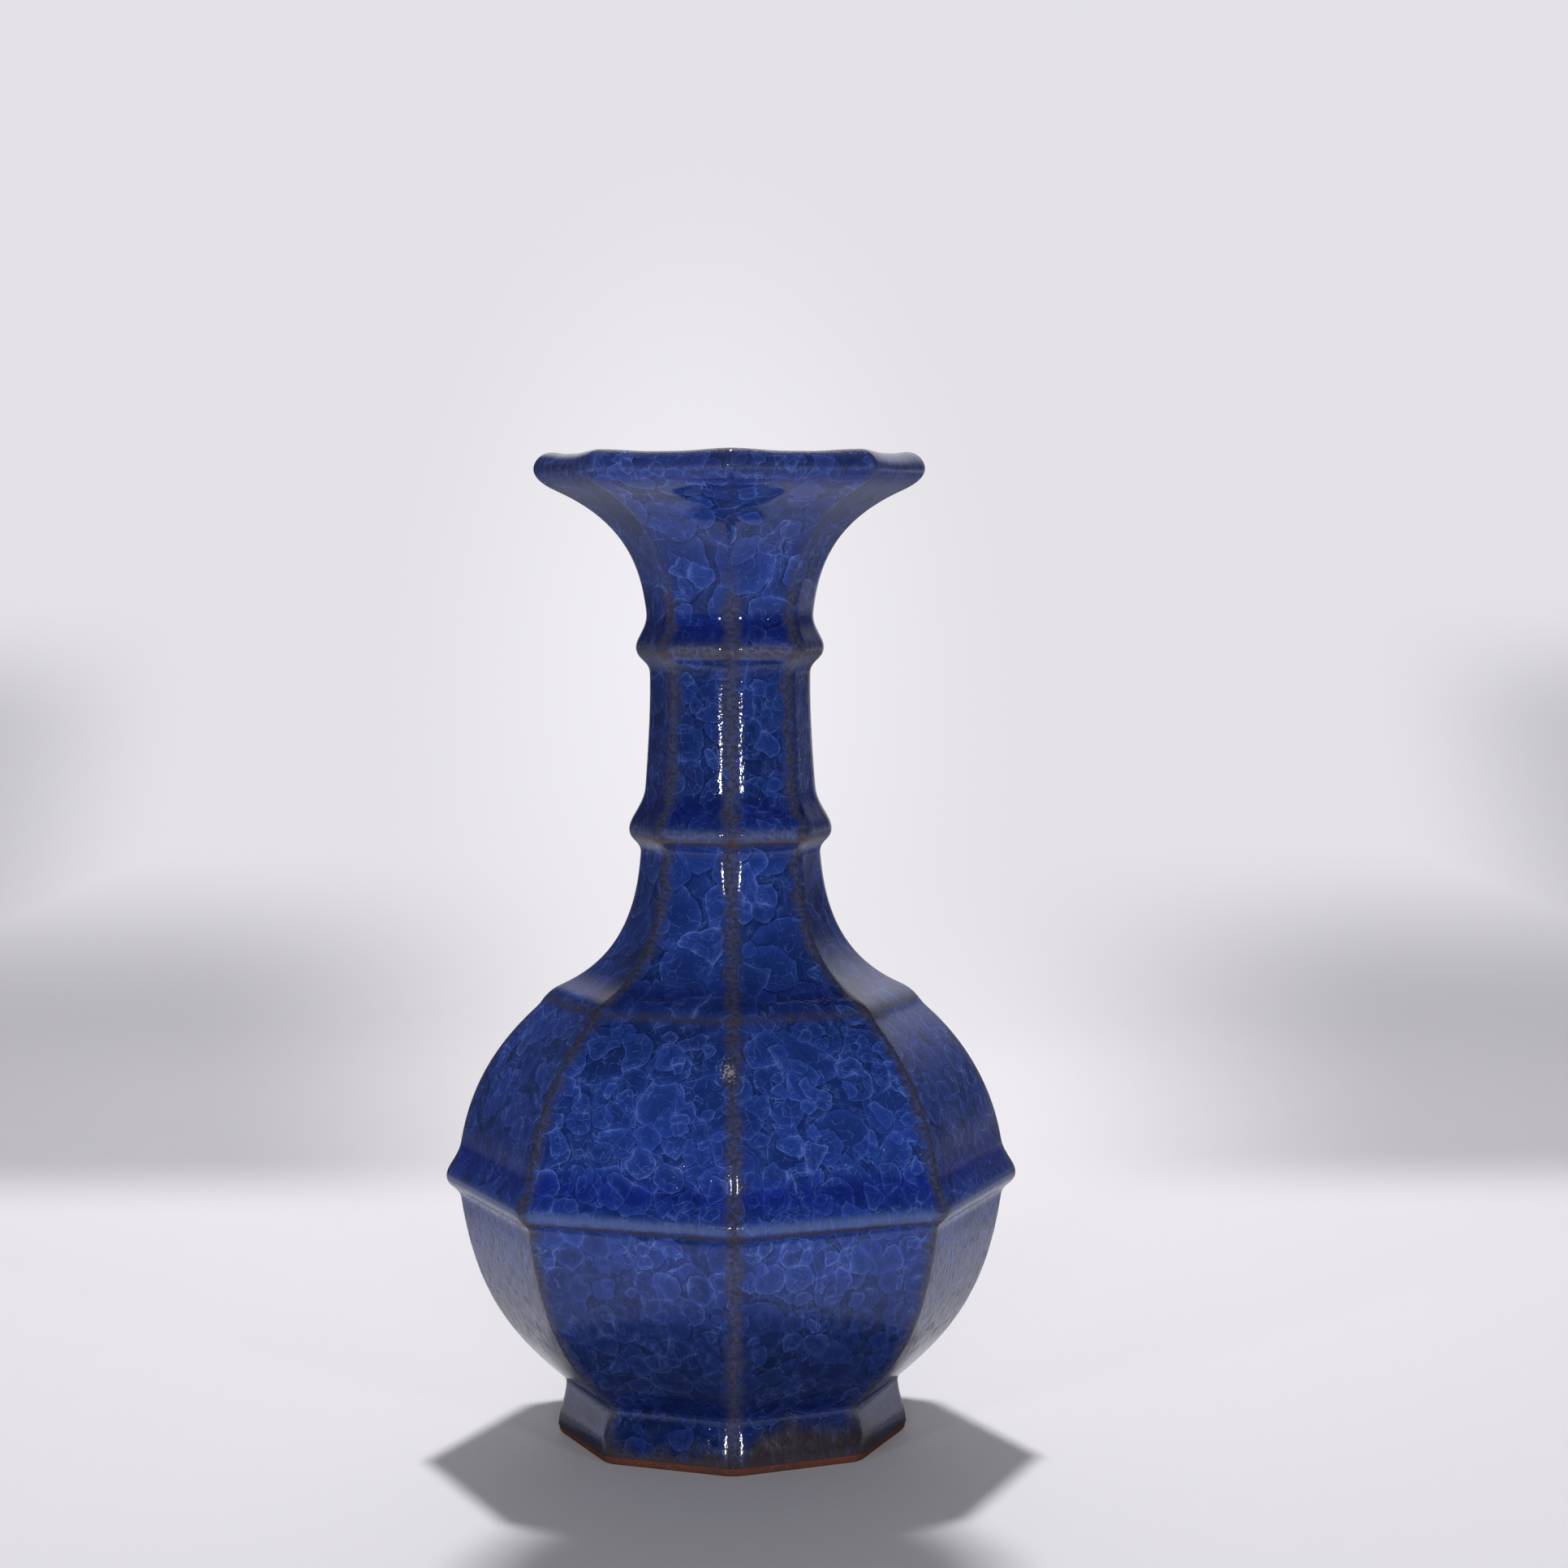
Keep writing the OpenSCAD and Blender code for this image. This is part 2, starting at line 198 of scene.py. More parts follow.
class Outline:
    """The clay outline of the vase and the glaze line over it, as points of panel distance and height."""

    TINY = 1e-6  # keeps rounding and a division by zero out
    DENSE = 0.1  # spacing of the points while a path is softened, in mm
    LONG, MIDDLE, SHORT = 14, 7, 5  # steps in a long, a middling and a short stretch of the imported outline
    FINENESS = 12  # steps of the glazed outside for each packed one
    SOFTNESS = 0.9  # how far the glaze flows over an edge, in mm
    TURN_STEP = 0.085  # greatest turn between two levels, in radians
    TURN_WINDOW = 6  # dense points on either side over which a turn is measured
    LEAST_STEP = 0.3  # least distance between two levels, in mm
    STRIP_START, STRIP_END = 15.0, -6.0  # lean of a strip's two ends against the wall, in degrees

    def __init__(self, sizes: VaseSizes, fineness: int = FINENESS) -> None:
        """Works out the clay outline.

        Args:
            sizes: Sizes of the vase.
            fineness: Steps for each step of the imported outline.
        """
        self.sizes = sizes
        self.fineness = fineness
        s = sizes
        self.foot_edge = self.clay_at(s.foot_width, s.bare_height, 0, s.coat_edge)
        self.foot_top = self.clay_at(s.foot_top_width, s.foot_height, s.belly_foot_lean / 2)
        self.lip_top = self.clay_at(s.top_width, s.top_height, -90)
        self.mouth_edge = self.clay_at(s.mouth_width, s.mouth_height, s.mouth_lean - s.lip_bend / 2)
        self.seat_inner = self.foot_top.x - s.wall / math.cos(math.radians(s.belly_foot_lean))
        self.foot_side = self.curve(self.foot_edge, self.foot_top, s.foot_lean, 0, 0.4, 0.4, self.SHORT)
        self.wall = self.wall_line()

    def clay_at(self, width: float, height: float, lean: float, coat: float | None = None) -> Vector:
        """Point of the clay under the finished surface.

        Args:
            width: Finished width across two ribs.
            height: Finished height.
            lean: Lean of the surface there.
            coat: Thickness of the glaze there, the usual one where it is left out.

        Returns:
            The point, as panel distance and height.
        """
        coat = self.sizes.coat if coat is None else coat
        tilt = math.radians(lean)
        return Vector((self.sizes.flat(width) - coat * math.cos(tilt), height + coat * math.sin(tilt)))

    def curve(self, start: Vector, end: Vector, start_lean: float, end_lean: float,
              start_pull: float, end_pull: float, steps: int) -> list[Vector]:
        """A curve that leaves one point and reaches the next at given leans.

        Args:
            start: First point.
            end: Last point.
            start_lean: Lean at the first point.
            end_lean: Lean at the last point.
            start_pull: How strongly the first lean holds, as a share of the straight line.
            end_pull: How strongly the last lean holds.
            steps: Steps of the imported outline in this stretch.

        Returns:
            Points of the curve with both of its ends.
        """
        reach = (end - start).length
        first = start + reach * start_pull * heading(start_lean)
        second = end - reach * end_pull * heading(end_lean)
        steps *= self.fineness
        points = []
        for step in range(steps + 1):
            t = step / steps
            points.append((1 - t) ** 3 * start + 3 * t * (1 - t) ** 2 * first
                          + 3 * t * t * (1 - t) * second + t ** 3 * end)
        return points

    def wall_line(self) -> list[Vector]:
        """Outside of the clay wall without its strips.

        Returns:
            Its points from the top of the foot up to the edge of the lip.
        """
        s = self.sizes
        belly = self.clay_at(s.belly_width, s.belly_height, (s.lower_seam_lean + s.upper_seam_lean) / 2)
        ridge = self.clay_at(s.ridge_width, s.ridge_height, (s.belly_top_lean + s.ridge_lean) / 2)
        shoulder = self.clay_at(s.shoulder_width, s.shoulder_height, s.shoulder_lean)
        neck = self.clay_at(s.neck_width, s.neck_height, s.neck_lean)
        throat = self.clay_at(s.throat_width, s.throat_height, s.throat_lean)
        stretches = (
            (self.foot_top, belly, s.belly_foot_lean, s.lower_seam_lean, 0.3, 0.5, self.LONG),
            (belly, ridge, s.upper_seam_lean, s.belly_top_lean, 0.25, 0.45, self.LONG),
            (ridge, shoulder, s.ridge_lean, s.shoulder_lean, 0.4, 0.3, self.SHORT),
            (shoulder, neck, s.shoulder_lean, s.neck_lean, 0.47, 0.26, self.LONG),
            (neck, throat, s.neck_lean, s.throat_lean, 0.3, 0.35, self.MIDDLE),
            (throat, self.mouth_edge, s.throat_lean, s.mouth_lean, 0.35, 0.48, self.LONG),
        )
        points = [self.foot_top]
        for stretch in stretches:
            points += self.curve(*stretch)[1:]
        return points

    def flat_at(self, path: Sequence[Vector], height: float) -> float:
        """Distance of a panel from the axis at a height on a path that runs up.

        Args:
            path: Points of the path.
            height: The height.

        Returns:
            The distance, between the two points beside that height.
        """
        i = min(max(bisect_left([p.y for p in path], height), 1), len(path) - 1)
        low, high = path[i - 1], path[i]
        return low.x + (high.x - low.x) * (height - low.y) / (high.y - low.y)

    def strip_side(self, strip: Strip) -> list[Vector]:
        """Outside of a strip.

        Args:
            strip: The strip.

        Returns:
            Its points, from its lower end on the wall to its upper one.
        """
        s = self.sizes
        low = Vector((self.flat_at(self.wall, strip.low), strip.low))
        high = Vector((self.flat_at(self.wall, strip.high), strip.high))
        leans = []
        for z in (strip.low, strip.high):
            rise = self.flat_at(self.wall, z + s.coat) - self.flat_at(self.wall, z - s.coat)
            leans.append(math.degrees(math.atan2(rise, 2 * s.coat)))
        edge = self.clay_at(strip.wall_width + 2 * strip.reach, strip.seam, 0)
        under = self.curve(low, edge, leans[0] + self.STRIP_START, 0, 0.5, 0.4, self.SHORT)
        return under + self.curve(edge, high, 0, leans[1] + self.STRIP_END, 0.25, 0.45, self.MIDDLE)[1:]

    def clay_outside(self) -> list[Vector]:
        """Clay surface under the outer glaze.

        Returns:
            Its points from the bare edge of the foot up to the top of the lip.
        """
        s = self.sizes
        points = list(self.wall)
        for strip in s.strips:
            points = ([p for p in points if p.y < strip.low - self.TINY] + self.strip_side(strip)
                      + [p for p in points if p.y > strip.high + self.TINY])
        lip = self.clay_at(s.lip_width, s.lip_height, 0)
        return (self.foot_side + points[1:]
                + self.curve(self.mouth_edge, lip, s.mouth_lean - s.lip_bend, 0, 0.2, 0.35, self.SHORT)[1:]
                + self.curve(lip, self.lip_top, 0, -90, 0.3, 0.35, self.SHORT)[1:])

    def clay_inside(self) -> list[Vector]:
        """Clay surface under the inner glaze.

        Returns:
            Its points from the top of the lip down to the edge of the floor.
        """
        s = self.sizes
        ridge, shoulder = s.ridge_height - s.coat, s.shoulder_height - s.coat
        plain = [p for p in self.wall if not ridge < p.y < shoulder]
        inner = self.moved(plain, [-s.wall] * len(plain))
        inner[0] = Vector((self.seat_inner, s.foot_height))
        lip = self.curve(self.lip_top, inner[-1], -90, s.mouth_lean - 180, 0.4, 0.3, self.MIDDLE)
        return lip + inner[-2::-1]

    def moved(self, path: Sequence[Vector], amounts: Sequence[float]) -> list[Vector]:
        """A path with each of its points moved out, square to the path.

        Args:
            path: Points of the path.
            amounts: How far each point is moved out, or in where it is below zero.

        Returns:
            The moved points.
        """
        sides = [Vector(((b - a).y, -(b - a).x)).normalized() for a, b in zip(path, path[1:])]
        made = []
        for i, point in enumerate(path):
            before = sides[max(i - 1, 0)]
            middle = (before + sides[min(i, len(sides) - 1)]).normalized()
            made.append(point + amounts[i] / middle.dot(before) * middle)
        return made

    def coat_at(self, height: float) -> float:
        """Thickness of the outer glaze, which is thinner towards its lower edge.

        Args:
            height: The height in mm.

        Returns:
            The thickness in mm.
        """
        s = self.sizes
        share = min(1.0, max(0.0, (height - s.bare_height) / (s.foot_height - s.bare_height)))
        return s.coat_edge + share * (s.coat - s.coat_edge)

    def spread(self, path: Sequence[Vector], longest: float, softness: float) -> list[Vector]:
        """The path with softened corners, and with its points spread by how much it turns.

        Args:
            path: Points of the path.
            longest: Greatest distance between two points of the result.
            softness: How far a corner is softened, or 0 to keep it.

        Returns:
            The new points, with the first and the last kept.
        """
        even = self.evenly_spaced(path, self.DENSE)
        for _ in range(round(2 * (softness / self.DENSE) ** 2)):
            even = [even[0]] + [0.25 * a + 0.5 * b + 0.25 * c
                                for a, b, c in zip(even, even[1:], even[2:])] + [even[-1]]
        window = self.TURN_WINDOW
        turns = [0.0] * len(even)
        for i in range(window, len(even) - window):
            before, after = even[i] - even[i - window], even[i + window] - even[i]
            turns[i] = before.angle(after, 0.0) / (window * self.DENSE)
        counts, total = [0.0], 0.0
        for i in range(1, len(even)):
            near = max(turns[max(0, i - window):i + window])
            step = min(longest, max(self.LEAST_STEP, self.TURN_STEP / max(near, self.TINY)))
            total += (even[i] - even[i - 1]).length / step
            counts.append(total)
        levels = max(2, math.ceil(total))
        return [even[0]] + [even[min(bisect_left(counts, total * k / levels), len(even) - 1)]
                            for k in range(1, levels)] + [even[-1]]

    def evenly_spaced(self, path: Sequence[Vector], spacing: float) -> list[Vector]:
        """Points at even distances along a path.

        Args:
            path: Points of the path.
            spacing: Distance between two points of the result.

        Returns:
            The even points, with both ends of the path.
        """
        lengths = [0.0]
        for a, b in zip(path, path[1:]):
            lengths.append(lengths[-1] + (b - a).length)
        count = max(2, round(lengths[-1] / spacing))
        made, i = [], 1
        for k in range(count + 1):
            want = lengths[-1] * k / count
            while i < len(lengths) - 1 and lengths[i] < want:
                i += 1
            gap = max(lengths[i] - lengths[i - 1], self.TINY)
            made.append(path[i - 1].lerp(path[i], (want - lengths[i - 1]) / gap))
        return made

    def glaze_lines(self) -> tuple[list[Vector], list[Vector]]:
        """Surface of the glaze outside and inside.

        Returns:
            The points of the outside up to the top of the lip, and of the inside from there down.
        """
        s = self.sizes
        outside, inside = self.clay_outside(), self.clay_inside()
        path = outside + inside[1:] + [Vector((0, s.foot_height))]
        amounts = [self.coat_at(p.y) for p in outside] + [s.coat] * (len(path) - len(outside))
        line = self.moved(path, amounts)
        turn = len(outside) - 1
        return line[:turn + 1], line[turn:-1]


# Meshes


@dataclass(frozen=True)
class Level:
    """One level of a shell: its panel distance, height and rib radius in mm, and its share of wander."""

    flat: float
    height: float
    rib: float
    wander: float = 0.0


class PanelledShell:
    """Makes panelled shells. One panel is a bent grid, and the others are spun from it and joined."""

    ARC_STEPS = 4  # steps across half a rib
    FLAT_STEPS = 14  # steps across the flat of a panel
    MERGED = 1e-3  # points nearer than this are joined, in mm
    CREASE = math.radians(40)  # an edge sharper than this stays sharp in the shading

    def __init__(self, levels: Sequence[Level], closed: bool) -> None:
        """Keeps the levels.

        Args:
            levels: Levels from the first to the last ring of points.
            closed: Whether the last level joins the first, as in a ring.
        """
        self.levels = [*levels, levels[0]] if closed else list(levels)
        self.closed = closed
        self.across = 2 * self.ARC_STEPS + self.FLAT_STEPS

    def place(self, level: Level, step: int) -> tuple[Vector, float, float]:
        """A point of the front right panel.

        Args:
            level: The level.
            step: Number of the point across the panel, from rib to rib.

        Returns:
            The point, and its distances along the surface from the panel's middle and the nearest rib, in mm.
        """
        core = max(level.flat - level.rib, 0.0)
        half = core * math.tan(HALF_PANEL)
        side = -1 if step < self.across / 2 else 1
        from_rib = min(step, self.across - step)
        if from_rib < self.ARC_STEPS:
            swing = HALF_PANEL * (1 - from_rib / self.ARC_STEPS)
            along, out = half + level.rib * math.sin(swing), core + level.rib * math.cos(swing)
            gap = level.rib * (HALF_PANEL - swing)
        else:
            share = 1 - 2 * (from_rib - self.ARC_STEPS) / self.FLAT_STEPS
            along, out = half * share, level.flat
            gap = level.rib * HALF_PANEL + half - along
        normal = Vector((math.sin(HALF_PANEL), -math.cos(HALF_PANEL), 0))
        tangent = Vector((math.cos(HALF_PANEL), math.sin(HALF_PANEL), 0))
        point = normal * out + tangent * side * along
        point.z = level.height
        return point, side * (level.rib * HALF_PANEL + half - gap), gap

    def lengths(self) -> list[float]:
        """Running length of the outline.

        Returns:
            The length from the first level to each one, in mm.
        """
        lengths = [0.0]
        for a, b in zip(self.levels, self.levels[1:]):
            lengths.append(lengths[-1] + math.hypot(b.flat - a.flat, b.height - a.height))
        return lengths

    @staticmethod
    def map_panel(bm: bmesh.types.BMesh, across: bmesh.types.BMLayerItem,
                  along: bmesh.types.BMLayerItem) -> None:
        """Maps the first panel in mm across it and along the outline, as the UV map of the flakes.

        Args:
            bm: The mesh.
            across: Distance of each point from the middle of the panel.
            along: Running length of the outline at each point.
        """
        uv = bm.loops.layers.uv.new(PANEL_MAP)
        for face in bm.faces:
            for loop in face.loops:
                loop[uv].uv = (loop.vert[across], loop.vert[along])

    @staticmethod
    def part_maps(bm: bmesh.types.BMesh) -> None:
        """Moves the map of each panel apart from the others, so that no two panels carry the same flakes.

        Args:
            bm: The mesh.
        """
        uv = bm.loops.layers.uv[PANEL_MAP]
        for face in bm.faces:
            middle = face.calc_center_median()
            number = round(math.atan2(middle.x, -middle.y) / (2 * HALF_PANEL) - 0.5) % PANELS
            for loop in face.loops:
                loop[uv].uv += Vector(PANEL_SHIFT) * number

    def mesh(self, name: str, wander: Callable[[Vector], Vector] | None = None,
             masks: dict[str, Callable[[float], float]] | None = None) -> bpy.types.Mesh:
        """Makes the mesh.

        Args:
            name: Name of the mesh.
            wander: Small shift in mm at a point of the even shape, which a level scales by its share.
            masks: Values by height that are kept as attributes of the mesh.

        Returns:
            The mesh in metres, with the distance from the nearest rib as the attribute rib_gap, in mm.
        """
        bm = bmesh.new()
        gap_layer = bm.verts.layers.float.new("rib_gap")
        wander_layer = bm.verts.layers.float.new("wander")
        across_layer = bm.verts.layers.float.new("across")
        along_layer = bm.verts.layers.float.new("along")
        mask_layers = {key: bm.verts.layers.float.new(key) for key in (masks or {})}
        rows = len(self.levels) - 1
        lengths = self.lengths()
        bmesh.ops.create_grid(bm, x_segments=self.across, y_segments=rows, size=1.0)
        for vert in bm.verts:
            step = round((vert.co.x + 1) / 2 * self.across)
            row = round((vert.co.y + 1) / 2 * rows)
            level = self.levels[row]
            vert.co, vert[across_layer], vert[gap_layer] = self.place(level, step)
            vert[wander_layer] = level.wander
            vert[along_layer] = lengths[row]
            for key, layer in mask_layers.items():
                vert[layer] = masks[key](level.height)
        self.map_panel(bm, across_layer, along_layer)
        turn = 2 * math.pi / PANELS
        bmesh.ops.spin(bm, geom=bm.verts[:] + bm.edges[:] + bm.faces[:], cent=(0, 0, 0), axis=(0, 0, 1),
                       angle=turn * (PANELS - 1), steps=PANELS - 1, use_duplicate=True)
        bmesh.ops.remove_doubles(bm, verts=bm.verts[:], dist=self.MERGED)
        if not self.closed:
            bmesh.ops.holes_fill(bm, edges=[edge for edge in bm.edges if edge.is_boundary], sides=0)
        bmesh.ops.recalc_face_normals(bm, faces=bm.faces[:])
        self.part_maps(bm)
        if wander:
            for vert in bm.verts:
                vert.co += wander(vert.co) * vert[wander_layer]
        for name_of_layer in ("wander", "across", "along"):
            bm.verts.layers.float.remove(bm.verts.layers.float[name_of_layer])
        bmesh.ops.scale(bm, vec=(MM, MM, MM), verts=bm.verts[:])
        for face in bm.faces:
            face.smooth = True
        made = bpy.data.meshes.new(name)
        bm.to_mesh(made)
        bm.free()
        made.set_sharp_from_angle(angle=self.CREASE)
        return made


def piece(name: str, mesh: bpy.types.Mesh, finish: bpy.types.Material,
          replaced: Iterable[str]) -> bpy.types.Object:
    """Adds a finished piece to the scene.

    Args:
        name: Name of the piece.
        mesh: Its mesh, in place.
        finish: Its material.
        replaced: Nodes that it stands for.

    Returns:
        The object.
    """
    made = bpy.data.objects.new(name, mesh)
    bpy.context.scene.collection.objects.link(made)
    made.data.materials.append(finish)
    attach(made, BODY)
    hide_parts(*replaced)
    log.info("%s: %d faces", name, len(mesh.polygons))
    return made


# Nodes and shared effects


class Bench:
    """Adds nodes to one tree and joins them, so that a finish reads as a list of steps."""

    MIX_INPUTS = (0, 6, 7)  # the share and the two colours among the inputs of a Mix node
    MIX_RESULT = 2  # the mixed colour among its outputs

    def __init__(self, tree: bpy.types.NodeTree) -> None:
        """Keeps the tree that the nodes go into."""
        self.tree = tree

    def node(self, kind: str, inputs: dict[str | int, object] | None = None,
             **settings: object) -> bpy.types.Node:
        """Adds a node.

        Args:
            kind: Blender's name of the node type.
            inputs: Value or socket for each named or numbered input.
            **settings: Values of the node's own properties.

        Returns:
            The node.
        """
        made = self.tree.nodes.new(kind)
        for key, value in settings.items():
            setattr(made, key, value)
        for key, value in (inputs or {}).items():
            self.feed(value, made.inputs[key])
        return made

    def feed(self, value: object, socket: Socket) -> None:
        """Links a socket to another, or sets its value.

        Args:
            value: Socket to link from, or the value. A colour may leave its alpha out.
            socket: Input that gets it.
        """
        if isinstance(value, bpy.types.NodeSocket):
            self.tree.links.new(value, socket)
        elif socket.type == "RGBA" and len(value) == 3:
            socket.default_value = (*value, 1.0)
        else:
            socket.default_value = value

    def math(self, operation: str, *values: object, clamp: bool = False) -> Socket:
        """Adds a Math node and gives its result."""
        made = self.node("ShaderNodeMath", dict(enumerate(values)), operation=operation, use_clamp=clamp)
        return made.outputs[0]

    def product(self, *values: object) -> Socket:
        """Multiplies values."""
        return reduce(lambda first, second: self.math("MULTIPLY", first, second), values)

    def greatest(self, *values: object) -> Socket:
        """Takes the greatest of some values."""
        return reduce(lambda first, second: self.math("MAXIMUM", first, second), values)

    def sloped(self, value: object, slope: object, start: object) -> Socket:
        """A value times a slope, plus a start."""
        return self.math("MULTIPLY_ADD", value, slope, start)

    def jittered(self, value: object, cloud: Socket, amount: float) -> Socket:
        """A value moved by a noise, by up to half of the amount either way."""
        return self.sloped(self.math("SUBTRACT", cloud, 0.5), amount, value)

    def vector(self, operation: str, *values: object, output: str | int = 0) -> Socket:
        """Adds a Vector Math node and gives one of its results."""
        made = self.node("ShaderNodeVectorMath", dict(enumerate(values)), operation=operation)
        return made.outputs[output]

    def scaled(self, vector: Socket, amount: object) -> Socket:
        """A vector times a number."""
        return self.node("ShaderNodeVectorMath", {0: vector, "Scale": amount}, operation="SCALE").outputs[0]

    def stretched(self, vector: Socket, factors: Triple) -> Socket:
        """A vector with each of its three parts times a factor of its own."""
        return self.vector("MULTIPLY", vector, factors)

    def distance(self, vector: Socket, point: Triple) -> Socket:
        """Distance from a point."""
        return self.vector("DISTANCE", vector, point, output="Value")

    def length(self, vector: Socket) -> Socket:
        """Length of a vector."""
        return self.vector("LENGTH", vector, output="Value")

    def mix(self, share: object, first: object, second: object, blend: str = "MIX") -> Socket:
        """Mixes two colours.

        Args:
            share: Share of the second colour.
            first: The first colour.
            second: The second colour.
            blend: Blender's name of the way to mix.

        Returns:
            The mixed colour.
        """
        made = self.node("ShaderNodeMix", data_type="RGBA", blend_type=blend, clamp_factor=True)
        for value, index in zip((share, first, second), self.MIX_INPUTS):
            self.feed(value, made.inputs[index])
        return made.outputs[self.MIX_RESULT]

    def ease(self, value: object, low: float, high: float, start: float = 0.0, end: float = 1.0) -> Socket:
        """Maps a value softly from start at low to end at high."""
        inputs = {"Value": value, "From Min": low, "From Max": high, "To Min": start, "To Max": end}
        return self.node("ShaderNodeMapRange", inputs, interpolation_type="SMOOTHSTEP").outputs[0]

    def noise(self, vector: Socket, size: float, detail: float = 2.0, space: str = "3D",
              output: str = "Fac") -> Socket:
        """Adds a noise whose features are about size wide, in the units of the vector."""
        inputs = {"Vector": vector, "Scale": 1 / size, "Detail": detail}
        return self.node("ShaderNodeTexNoise", inputs, noise_dimensions=space).outputs[output]

    def cells(self, vector: Socket, size: float = 1.0, space: str = "2D",
              feature: str = "F1") -> bpy.types.Node:
        """Adds a cell pattern whose cells are about size wide."""
        inputs = {"Vector": vector, "Scale": 1 / size}
        return self.node("ShaderNodeTexVoronoi", inputs, feature=feature, voronoi_dimensions=space)

    def edge_gap(self, vector: Socket, size: float = 1.0, space: str = "2D") -> Socket:
        """Distance from the nearest border between two cells, as a share of size."""
        return self.cells(vector, size, space, "DISTANCE_TO_EDGE").outputs["Distance"]

    def attribute(self, name: str) -> Socket:
        """Reads a value that the mesh carries."""
        return self.node("ShaderNodeAttribute", attribute_name=name).outputs["Fac"]

    def place(self) -> Socket:
        """Place on the object, in mm."""
        return self.scaled(self.node("ShaderNodeTexCoord").outputs["Object"], 1 / MM)

    def panel_place(self) -> Socket:
        """Place on the panel, in mm across it and along the outline."""
        return self.node("ShaderNodeUVMap", uv_map=PANEL_MAP).outputs[0]

    def parts(self, vector: Socket) -> bpy.types.NodeOutputs:
        """The parts X, Y and Z of a vector."""
        return self.node("ShaderNodeSeparateXYZ", {0: vector}).outputs

    def swung(self, vector: Socket, size: float, amount: float) -> Socket:
        """Shift by a noise in the plane of a panel.

        Args:
            vector: Place on the panel.
            size: Size of the noise in mm.
            amount: Greatest shift in mm, about twice the usual one.

        Returns:
            The shift.
        """
        swing = self.noise(vector, size, 1.0, "2D", "Color")
        return self.scaled(self.vector("SUBTRACT", swing, (0.5, 0.5, 0.5)), amount)

    def bump(self, height: Socket) -> Socket:
        """Normal of a surface whose relief is given as a height in mm."""
        inputs = {"Height": self.product(height, MM), "Distance": 1.0, "Strength": 1.0}
        return self.node("ShaderNodeBump", inputs).outputs[0]

    def group(self, tree: bpy.types.NodeTree, inputs: dict[str, object]) -> bpy.types.NodeOutputs:
        """Adds a shared effect.

        Args:
            tree: Node group of the effect.
            inputs: Values or sockets for the group's inputs by name.

        Returns:
            The outputs of the effect.
        """
        made = self.node("ShaderNodeGroup", node_tree=tree)
        for key, value in inputs.items():
            self.feed(value, made.inputs[key])
        return made.outputs


def shared_effect(
        name: str, inputs: Sequence[tuple[str, str, object]], outputs: Sequence[tuple[str, str]],
) -> tuple[Bench, bpy.types.NodeOutputs, bpy.types.NodeInputs]:
    """Starts a shader node group.

    Args:
        name: Name of the group.
        inputs: Name, kind and default value of each input.
        outputs: Name and kind of each output.

    Returns:
        A bench for the group, the sockets with its inputs, and the sockets that take its outputs.
    """
    tree = bpy.data.node_groups.new(name, "ShaderNodeTree")
    for label, kind, value in inputs:
        socket = tree.interface.new_socket(label, in_out="INPUT", socket_type=f"NodeSocket{kind}")
        if value is not None:
            socket.default_value = (*value, 1.0) if kind == "Color" else value
    for label, kind in outputs:
        tree.interface.new_socket(label, in_out="OUTPUT", socket_type=f"NodeSocket{kind}")
    bench = Bench(tree)
    return bench, bench.node("NodeGroupInput").outputs, bench.node("NodeGroupOutput").inputs


def rim_light(bench: Bench, depth: Socket, reach: float, strength: float) -> Socket:
    """Light that is strongest where a depth starts from zero and fades over a reach in mm.

    Args:
        bench: Bench of the group.
        depth: Depth in mm, below zero outside.
        reach: Depth at which the light has fallen to a third.
        strength: Light at a depth of zero.

    Returns:
        The light.
    """
    fall = bench.math("EXPONENT", bench.product(depth, -1 / reach))
    return bench.product(fall, bench.math("GREATER_THAN", depth, 0.0), strength)


